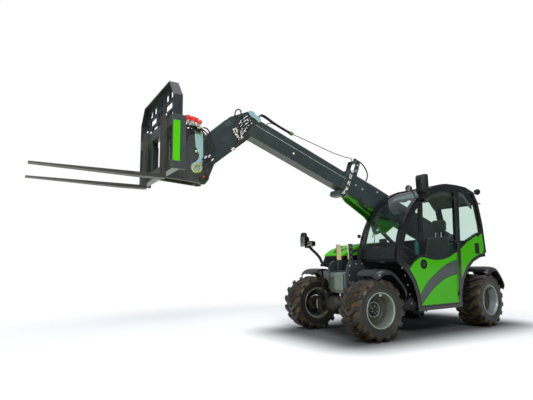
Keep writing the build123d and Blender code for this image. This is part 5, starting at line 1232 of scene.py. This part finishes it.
plug = put(tree, "ShaderNodeMapRange", {"From Min": 0.014, "From Max": 0.017, "To Min": 0.95,
        "To Max": 0.0}, Value=plug_gap.outputs["Value"])
plugged = put(tree, "ShaderNodeMix", {"data_type": "RGBA", 7: linear("#dfe3dc")},
    Factor=plug.outputs["Result"], in6=seam_painted_highlight.outputs[2])
tree.links.new(plugged.outputs[2], base.inputs["Base Color"])
dress(boom_slate, "outer_boom")
dress(sliding_slate, "inner_boom")

# collar: adjusting bolts for its pads
collar_bolts = [facing(bolt, on_boom(2.407, n, side * 0.1165), (0, side, 0)) for side in (-1, 1)
    for n in (-0.13, -0.02, 0.12)]
collar_bolts += [facing(bolt, on_boom(2.407, 0.1885, y), (-along.z, 0, along.x)) for y in (-0.07, 0.07)]
collar_bolts += [facing(bolt, on_boom(1.804, 0.109, 0.1005), (0, 1, 0)),
    facing(bolt, on_boom(2.10, 0.02, 0.1005), (0, 1, 0)),
    facing(bolt, on_boom(2.24, 0.02, 0.1005), (0, 1, 0))]
piece("collar_bolts", merged("collar_bolts", collar_bolts), zinc, "outer_boom", smooth=40)
# pipes down the collar's left face, in light nylon clamps
for k, s in enumerate((2.385, 2.412)):
    tube("collar_pipe_%d" % k, boom_line((s - 0.10, 0.205, 0.105), (s - 0.03, 0.20, 0.125),
            (s, 0.16, 0.134), (s, 0.0, 0.134), (s + 0.006, -0.12, 0.134), (s + 0.03, -0.20, 0.118),
            (s + 0.05, -0.225, 0.08)), 0.014, zinc, "outer_boom")
collar_clamps = []
for n in (0.135, 0.03, -0.075, -0.165):
    clamp = bar((2.372, 0.118, n - 0.014), (2.428, 0.146, n + 0.014))
    clamp.transform(boom_frame)
    collar_clamps.append(clamp)
piece("collar_clamps", merged("collar_clamps", collar_clamps), boom_slate, "outer_boom", edge=0.003)
# frame for the hoses on top
hose_frame = []
for low, high in (((2.262, -0.098, 0.150), (2.345, -0.090, 0.405)),
    ((2.262, 0.090, 0.150), (2.345, 0.098, 0.405)), ((2.262, -0.098, 0.398), (2.345, 0.098, 0.406)),
    ((2.30, 0.012, 0.404), (2.34, 0.048, 0.446))):
    part = bar(low, high)
    part.transform(boom_frame)
    hose_frame.append(part)
piece("hose_frame", merged("hose_frame", hose_frame), boom_slate, "outer_boom", edge=0.003)
frame_clip = merged("frame_clip", [facing(bolt, on_boom(2.32, 0.447, 0.03), (-along.z, 0, along.x)),
        facing(bolt, on_boom(2.30, 0.33, 0.099), (0, 1, 0)),
        facing(bolt, on_boom(2.30, 0.24, 0.099), (0, 1, 0))])
piece("frame_bolts", frame_clip, zinc, "outer_boom", smooth=40)
tube("collar_hose", boom_line((2.345, 0.432, 0.03), (2.24, 0.452, 0.03), (2.12, 0.425, 0.03),
        (2.02, 0.34, 0.035), (2.01, 0.24, 0.04), (2.05, 0.165, 0.045)), 0.020, seal, "outer_boom")
tube("top_pipe", boom_line((2.26, 0.172, 0.080), (2.10, 0.172, 0.085), (1.80, 0.171, 0.085),
        (1.70, 0.169, 0.085), (1.55, 0.169, 0.080)), 0.016, zinc, "outer_boom")
# black hoses loop under the collar and run back beside the bracket
under_hoses = ((boom_line((2.46, -0.17, 0.090), (2.475, -0.215, 0.088), (2.43, -0.240, 0.085),
            (2.385, -0.235, 0.080), (2.375, -0.18, 0.075)), 0.018),
    (boom_line((2.12, -0.16, 0.094), (2.10, -0.215, 0.096), (1.95, -0.230, 0.096), (1.70, -0.235, 0.096),
            (1.45, -0.20, 0.096)), 0.020), (boom_line((2.10, -0.13, 0.108), (2.06, -0.225, 0.114),
            (1.90, -0.245, 0.114), (1.66, -0.240, 0.114), (1.42, -0.19, 0.112)), 0.018))
for k, (line, size) in enumerate(under_hoses):
    tube("under_hose_%d" % k, line, size, seal, "outer_boom")
clip_places = [bar((s - 0.012, 0.082, -0.252), (s + 0.012, 0.126, -0.205)) for s in (1.62, 1.95)]
for clip_bar in clip_places:
    clip_bar.transform(boom_frame)
piece("under_hose_clips", merged("under_hose_clips", clip_places), cast_black, "outer_boom", edge=0.004)
# two hoses from the knee along the top, ending in a green cap; a thin cable goes on to the frame
green_cap = enamel("green_plastic_cap", "#3f7f2a", 0.4, edge=0.001)
for k, y in enumerate((0.012, 0.038)):
    tube("top_hose_%d" % k, boom_line((4.06, 0.150, y + 0.045), (4.055, 0.225, y + 0.020),
            (3.96, 0.250 + 0.008 * k, y), (3.82, 0.236, y), (3.64, 0.236, y), (3.52, 0.240, y)), 0.021,
        seal, "inner_boom")
cap_block = bar((3.475, 0.000, 0.224), (3.535, 0.052, 0.258))
cap_block.transform(boom_frame)
piece("hose_cap", cap_block, green_cap, "inner_boom", edge=0.006)
cable_line, cable_knots = [], [(2.405, 0.196), (2.385, 0.29), (2.370, 0.365), (2.385, 0.408), (2.43, 0.408),
    (2.50, 0.382), (2.72, 0.335), (3.0, 0.300), (3.25, 0.272), (3.47, 0.243), (3.70, 0.228), (3.84, 0.215),
    (3.89, 0.185), (3.90, 0.150)]
for (s0, n0), (s1, n1) in zip(cable_knots, cable_knots[1:]):
    cable_line += [on_boom(s0 + (s1 - s0) * k / 8, n0 + (n1 - n0) * k / 8, 0.03) for k in range(8)]
cable_line.append(on_boom(*cable_knots[-1], 0.03))
cable_points, cable_faces = [], []
for i, middle in enumerate(cable_line):
    run = (cable_line[min(i + 1, len(cable_line) - 1)] - cable_line[max(i - 1, 0)]).normalized()
    side = Vector((0, 1, 0))
    up = run.cross(side)
    cable_points += [middle + (side * math.cos(a) + up * math.sin(a)) * 0.0055
        for a in (math.tau * k / 10 for k in range(10))]
for i in range(len(cable_line) - 1):
    cable_faces += [(10 * i + k, 10 * (i + 1) + k, 10 * (i + 1) + (k + 1) % 10, 10 * i + (k + 1) % 10)
        for k in range(10)]
cable_mesh = new_mesh("boom_cable", cable_points,
    cable_faces + [tuple(range(10)), tuple(range(10 * len(cable_line) - 1, 10 * len(cable_line) - 11, -1))])
cable_mesh.materials.append(seal)
cable_mesh.shade_smooth()
cable = bpy.data.objects.new("boom_cable", cable_mesh)
bpy.context.scene.collection.objects.link(cable)
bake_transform(cable)

# ---- cylinders --------------------------------------------------------------------------------
# Honed steel barrels under paint, with chromed rods and a gland nut at each mouth.
chrome, tree = new_material("hard_chrome_rod")
where = put(tree, "ShaderNodeTexCoord")
polish = put(tree, "ShaderNodeTexNoise", {"Scale": 60.0, "Detail": 3.0}, Vector=where.outputs["Object"])
hazy = put(tree, "ShaderNodeMapRange", {"To Min": 0.07, "To Max": 0.2}, Value=polish.outputs["Fac"])
shader = put(tree, "ShaderNodeBsdfPrincipled", {"Base Color": linear("#d7dcdf"), "Metallic": 1.0},
    Roughness=hazy.outputs["Result"])
put(tree, "ShaderNodeOutputMaterial", Surface=shader.outputs[0])
dress(chrome, "lift_rod", "tilt_rod")
dress(boom_slate, "tilt_barrel")
for name, joint in (("lift", "lift_barrel_swing"), ("tilt", "tilt_barrel_swing")):
    start = Vector(joints[joint]["pos_m"])
    line = Vector(joints[name + "_rod_slide"]["axis"])
    top = Vector((-line.z, 0, line.x)) if line.x > 0 else Vector((line.z, 0, -line.x))
    wide = 0.048 if name == "lift" else 0.040
    tube(name + "_cylinder_pipe", [start + line * 0.10 + top * (wide + 0.004),
            start + line * 0.13 + top * (wide + 0.020), start + line * 0.30 + top * (wide + 0.016),
            start + line * 0.46 + top * (wide + 0.018), start + line * 0.50 + top * (wide + 0.002)], 0.014,
        zinc, name + "_barrel")

# ---- boom head --------------------------------------------------------------------------------
# The gooseneck at the boom's end: two flame-cut cheeks in dark slate with hoses and pipes strapped
# along the left one, a pale bracket on the knee, and a big pin at the carriage with a red cap.
dress(dark_slate, "boom_head")
cheek = boom_y + 0.085
pale_blue = enamel("pale_blue_enamel", "#86aac0", 0.3, dust="#a5b6bf", dust_share=0.2,
    edge_wear_and_highlight="#dfe9ee", edge_wear_and_highlight_share=0.5, edge=0.003)
dress(pale_blue, "hitch_plate")
knee_bracket = [plate("knee", [(0.735, 2.828), (0.775, 2.815), (0.815, 2.85), (0.90, 2.885), (0.935, 2.930),
            (0.915, 2.953), (0.865, 2.950), (0.80, 2.905), (0.745, 2.875)], cheek + 0.002, cheek + 0.012),
    bar((0.84, cheek - 0.17, 2.940), (0.915, cheek + 0.012, 2.949))]
piece("knee_bracket", merged("knee_bracket", knee_bracket), pale_blue, "inner_boom", edge=0.003)
down = Vector((1.50 - 0.93, 0, 2.25 - 2.78)).normalized()


def on_cheek(reach, across, out):
    """A point on the left cheek: along the gooseneck from its knee, square to that, and out."""
    return Vector((0.93, cheek, 2.78)) + down * reach + Vector((-down.z, 0, down.x)) * across + Vector(
        (0, out, 0))


# steel pipes bent along the cheek, with nuts, then hoses that leave them
for k in range(4):
    offset = 0.060 - 0.036 * k
    tube("cheek_pipe_%d" % k, [on_cheek(-0.05, offset + 0.02, 0.016), on_cheek(0.06, offset + 0.03, 0.018),
            on_cheek(0.12, offset + 0.01, 0.018), on_cheek(0.18, offset - 0.01, 0.020),
            on_cheek(0.25, offset - 0.02, 0.018)], 0.013, zinc, "inner_boom")
hose_runs = [([(0.0, 0.10, 0.02), (0.03, 0.14, 0.045), (0.12, 0.13, 0.055), (0.18, 0.05, 0.050),
            (0.23, -0.04, 0.045), (0.27, -0.095, 0.032), (0.36, -0.108, 0.022), (0.46, -0.124, 0.014)],
        0.019), ([(0.02, -0.03, 0.018), (0.08, -0.09, 0.040), (0.16, -0.11, 0.050), (0.24, -0.10, 0.045),
            (0.32, -0.118, 0.034), (0.42, -0.128, 0.020)], 0.019),
    ([(0.16, 0.06, 0.020), (0.20, 0.085, 0.032), (0.25, 0.05, 0.034), (0.245, -0.02, 0.030),
            (0.22, -0.06, 0.020)], 0.018), ([(0.10, 0.00, 0.020), (0.15, 0.03, 0.050), (0.21, 0.02, 0.052),
            (0.25, -0.04, 0.040), (0.24, -0.09, 0.018)], 0.018),
    ([(-0.04, 0.06, 0.016), (-0.02, 0.0, 0.040), (0.05, -0.05, 0.050), (0.10, 0.02, 0.055),
            (0.06, 0.09, 0.045), (0.0, 0.12, 0.02)], 0.018)]
for k, (line, size) in enumerate(hose_runs):
    tube("cheek_hose_%d" % k, [on_cheek(*p) for p in line], size, seal, "inner_boom")
tube("knee_hose_loop", [(1.035, cheek - 0.02, 2.845), (1.030, cheek + 0.01, 2.905),
        (1.060, cheek + 0.015, 2.942), (1.100, cheek + 0.015, 2.935), (1.130, cheek + 0.01, 2.885),
        (1.120, cheek - 0.01, 2.82)], 0.017, seal, "inner_boom")
fitting = lathe("fitting", [(0.0, 0.026), (0.009, 0.026), (0.010, 0.016), (0.0145, 0.015), (0.0145, 0.002),
        (0.010, 0.0), (0.010, -0.018), (0.0, -0.018)], 6, closed=False)
fittings = [facing(fitting, on_cheek(r, a, 0.017), down)
    for r, a in ((0.250, 0.030), (0.252, -0.006), (0.250, -0.042), (0.255, -0.078), (0.03, 0.085),
        (0.05, 0.05), (0.04, 0.01), (0.06, -0.03), (0.17, 0.065), (0.22, 0.02), (0.20, -0.04))]
fittings += [facing(fitting, on_cheek(r, a, 0.010), (0, 1, 0))
    for r, a in ((-0.01, 0.03), (0.09, 0.06), (0.12, -0.05), (0.21, 0.05), (0.14, 0.0))]
piece("head_fittings", merged("head_fittings", fittings), zinc, "inner_boom", smooth=35)
white_steel = enamel("bright_plated_clamp", "#e4e8e8", 0.3, dust="#a9aaa4", dust_share=0.3,
    fleck=0.35, edge=0.002, cloud_scale=16.0)
clamp_turn = Matrix(((down.x, 0, -down.z, 0), (0, 1, 0, 0), (down.z, 0, down.x, 0), (0, 0, 0, 1)))
clamps = []
for reach, low, high in ((0.235, -0.095, 0.07), (0.43, -0.142, -0.104)):
    clamp = bar((-0.028, 0.026, low), (0.028, 0.034, high))
    clamp.transform(Matrix.Translation(on_cheek(reach, 0, 0)) @ clamp_turn)
    clamps.append(clamp)
piece("head_clamps", merged("head_clamps", clamps), white_steel, "inner_boom", edge=0.002)
clamp_bolts = [facing(bolt, on_cheek(r, a, 0.034), (0, 1, 0))
    for r, a in ((0.235, 0.055), (0.235, -0.08), (0.43, -0.123))]
piece("head_clamp_bolts", merged("head_clamp_bolts", clamp_bolts), zinc, "inner_boom", smooth=40)
# bolt row along the gooseneck's top edge and a blank plate
edge_bolts = [facing(bolt, (x, cheek, z), (0, 1, 0)) for x, z in ((1.10, 2.83), (1.04, 2.62), (1.08, 2.50))]
piece("head_bolts", merged("head_bolts", edge_bolts), cast_black, "inner_boom", smooth=40)
blank = plate("blank_plate", [(1.165, 2.735), (1.235, 2.682), (1.268, 2.725), (1.198, 2.778)],
    cheek - 0.001, cheek + 0.002)
piece("blank_plate", blank, slate, "inner_boom", edge=0.001)
# pin at the carriage: a boss, its washer, and a red grease cap
tilt_pin = Vector(joints["carriage_tilt"]["pos_m"])
pin_face = lathe("pin_face", [(0.0, 0.016), (0.024, 0.016), (0.030, 0.012), (0.034, 0.006), (0.052, 0.006),
        (0.056, 0.003), (0.056, -0.004), (0.0, -0.004)], 40, closed=False)
pin_faces = [facing(pin_face, (tilt_pin.x, boom_y + side * 0.127, tilt_pin.z), (0, side, 0))
    for side in (-1, 1)]
piece("tilt_pin_faces", merged("tilt_pin_faces", pin_faces), cast_black, "carriage", smooth=40)
red = enamel("red_plastic_cap", "#d3261c", 0.35, dust="#8a4038", dust_share=0.3, edge=0.001,
    cloud_scale=20.0)
red_cap = lathe("red_cap", [(0.0, 0.006), (0.007, 0.0055), (0.010, 0.002), (0.010, -0.003), (0.0, -0.003)],
    20, closed=False)
piece("tilt_pin_cap", facing(red_cap, (tilt_pin.x, boom_y + 0.143, tilt_pin.z), (0, 1, 0)), red, "carriage",
    smooth=50)

# ---- carriage and forks -----------------------------------------------------------------------
# A welded carriage with a dark load guard on top, a pale hitch plate on its side, red caps on the
# quick couplers, and two forged forks whose blades have a film of rust.
guard_slate = enamel("guard_blue_black_enamel", "#171c25", 0.38, dust="#343b43",
    dust_share=0.25, edge_wear_and_highlight="#6a7681", edge_wear_and_highlight_share=0.5, shine=0.3)
fork_steel = enamel("forged_fork_steel", "#191c14", 0.36, dust="#3f3522", dust_share=0.22,
    edge_wear_and_highlight="#5e625a", edge_wear_and_highlight_share=0.5, edge=0.004, cloud_scale=11.0)
bar_slate = enamel("carriage_slate_enamel", "#22292e", 0.34, dust="#484f52", dust_share=0.25,
    edge_wear_and_highlight="#7a858b", edge_wear_and_highlight_share=0.5)
dress(bar_slate, "carriage_frame")
dress(guard_slate, "guard")
dress(fork_steel, "fork_left", "fork_right")
carriage_low, carriage_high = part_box("carriage_frame")
stripe = bar((2.026, carriage_high[1] - 0.001, 2.045), (2.100, carriage_high[1] + 0.002, 2.480))
stripe_right = bar((2.026, carriage_low[1] - 0.002, 2.045), (2.100, carriage_low[1] + 0.001, 2.480))
piece("carriage_stripes", merged("carriage_stripes", [stripe, stripe_right]), lime, "carriage", edge=0.001)
# fork latches: a sprung pin with a tab on each fork's upper hook
for name in ("fork_left", "fork_right"):
    low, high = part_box(name)
    middle = (low[1] + high[1]) / 2
    latch_tab = merged("latch", [bar((low[0] + 0.006, middle - 0.016, high[2] + 0.001),
                (low[0] + 0.046, middle + 0.016, high[2] + 0.009)),
            facing(lathe("pin", [(0.0, 0.036), (0.008, 0.035), (0.010, 0.030), (0.010, -0.002),
                (0.0, -0.002)], 20, closed=False), (low[0] + 0.026, middle, high[2] + 0.004), (0, 0, 1))])
    piece(name + "_latch", latch_tab, zinc, "carriage", smooth=35)
side_knob = facing(knob, (2.06, carriage_low[1] - 0.002, 2.48), (0, -1, 0))
piece("carriage_knob", side_knob, zinc, "carriage", smooth=40)
pale_steel = enamel("pale_primed_plate", "#8b9498", 0.4, dust="#a7aca9", dust_share=0.3,
    edge_wear_and_highlight="#c3cacc", edge_wear_and_highlight_share=0.4, edge=0.002)
faces_inside = [bar((2.014, -0.405, 2.115), (2.020, -0.300, 2.370)),
    bar((2.014, 0.030, 2.115), (2.020, 0.120, 2.370))]
piece("carriage_pad_plates", merged("pad_plates", faces_inside), pale_steel, "carriage", edge=0.002)
# ring and boss on the hitch plate's foot
hitch_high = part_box("hitch_plate")[1]
hitch_ring = lathe("hitch_ring", [(0.030, 0.004), (0.034, 0.010), (0.046, 0.012), (0.058, 0.010),
        (0.062, 0.004), (0.062, -0.002), (0.030, -0.002)], 40)
ring_steel = enamel("olive_zinc_ring", "#a9ab84", 0.32, dust="#6d6c3a", dust_share=0.5,
    fleck=0.6, edge=0.002, cloud_scale=14.0)
piece("hitch_ring", facing(hitch_ring, (1.640, hitch_high[1], 2.105), (0, 1, 0)), ring_steel, "carriage",
    smooth=40)
hitch_bolts = [facing(bolt, (x, hitch_high[1], z), (0, 1, 0))
    for x, z in ((1.60, 2.55), (1.68, 2.55), (1.66, 2.30))]
piece("hitch_bolts", merged("hitch_bolts", hitch_bolts), zinc, "carriage", smooth=40)
# quick couplers under red dust caps, on a small bracket with their hoses
coupler = lathe("coupler", [(0.0, -0.05), (0.014, -0.05), (0.014, -0.03), (0.018, -0.028), (0.018, 0.004),
        (0.012, 0.006), (0.0, 0.006)], 20, closed=False)
dust_cap = lathe("dust_cap", [(0.0, 0.046), (0.012, 0.045), (0.019, 0.038), (0.022, 0.026), (0.022, 0.004),
        (0.024, 0.0), (0.024, -0.006), (0.0, -0.006)], 20, closed=False)
coupler_places = [((1.640, 0.050, 2.636), (-0.35, 0.35, 0.8)), ((1.688, 0.072, 2.648), (-0.1, 0.6, 0.9)),
    ((1.742, 0.060, 2.660), (0.15, 0.4, 0.9)), ((1.796, 0.066, 2.664), (0.4, 0.4, 0.9)),
    ((1.706, 0.032, 2.672), (-0.1, 0.1, 1)), ((1.766, 0.032, 2.684), (0.2, 0.0, 1))]
piece("couplers", merged("couplers", [facing(coupler, place, way) for place, way in coupler_places]), zinc,
    "carriage", smooth=40)
piece("coupler_caps", merged("coupler_caps", [facing(dust_cap, place, way)
            for place, way in coupler_places]), red, "carriage", smooth=45)
coupler_bracket = merged("coupler_bracket", [bar((1.60, 0.000, 2.586), (1.83, 0.080, 2.594)),
        bar((1.60, 0.017, 2.53), (1.72, 0.025, 2.594)), bar((1.80, 0.000, 2.44), (2.02, 0.008, 2.594))])
piece("coupler_bracket", coupler_bracket, bar_slate, "carriage", edge=0.003)
for k, (place, way) in enumerate(coupler_places):
    start = Vector(place) - Vector(way).normalized() * 0.045
    tube("coupler_hose_%d" % k, [start, start + Vector((0.01, -0.004, -0.05)),
            Vector((1.76 + 0.014 * k, 0.030 + 0.012 * k, 2.52)),
            Vector((1.78 + 0.018 * k, 0.030 + 0.012 * k, 2.42)),
            Vector((1.86 + 0.020 * k, 0.030 + 0.012 * k, 2.34)), Vector((2.03, 0.030 + 0.014 * k, 2.32))],
        0.015, seal, "carriage")
# return hoses loop back from the couplers and down beside the hitch plate to the lug's foot
return_hoses = (([(1.62, 0.070, 2.585), (1.55, 0.066, 2.60), (1.49, 0.055, 2.52), (1.47, 0.042, 2.40),
            (1.50, 0.036, 2.26), (1.585, 0.036, 2.16)], 0.018),
    ([(1.64, 0.050, 2.585), (1.56, 0.048, 2.56), (1.46, 0.045, 2.45), (1.42, 0.040, 2.34),
            (1.46, 0.036, 2.22), (1.575, 0.034, 2.11)], 0.018),
    ([(1.66, 0.066, 2.585), (1.60, 0.072, 2.54), (1.53, 0.062, 2.44), (1.52, 0.050, 2.34),
            (1.55, 0.042, 2.24), (1.60, 0.040, 2.20)], 0.015))
for k, (line, size) in enumerate(return_hoses):
    tube("return_hose_%d" % k, line, size, seal, "carriage")
return_nuts = [facing(fitting, line[place], Vector(line[place + 1]) - Vector(line[place]))
    for line, _ in return_hoses for place in (0, 4)]
piece("return_nuts", merged("return_nuts", return_nuts), zinc, "carriage", smooth=35)

# ---- glass ------------------------------------------------------------------------------------
# Green-tinted laminated panes of 6 mm, bonded into the frame.
tinted, tree = new_material("green_tinted_glass")
see = put(tree, "ShaderNodeBsdfTransparent", {"Color": linear("#f1f8f5")})
shine = put(tree, "ShaderNodeBsdfGlossy", {"Color": (1, 1, 1, 1), "Roughness": 0.02})
angle = put(tree, "ShaderNodeFresnel", {"IOR": 1.5})
side_seen = put(tree, "ShaderNodeNewGeometry")
outer_face = put(tree, "ShaderNodeMath", {"operation": "SUBTRACT", 0: 1.0},
    in1=side_seen.outputs["Backfacing"])
mirrored = put(tree, "ShaderNodeMath", {"operation": "MULTIPLY"}, in0=angle.outputs[0],
    in1=outer_face.outputs[0])
pane = put(tree, "ShaderNodeMixShader", in0=mirrored.outputs[0], in1=see.outputs[0], in2=shine.outputs[0])
put(tree, "ShaderNodeOutputMaterial", Surface=pane.outputs[0])
dress(tinted, "windscreen", "door_glass", "quarter_glass", "right_glass", "right_rear_glass", "rear_glass")
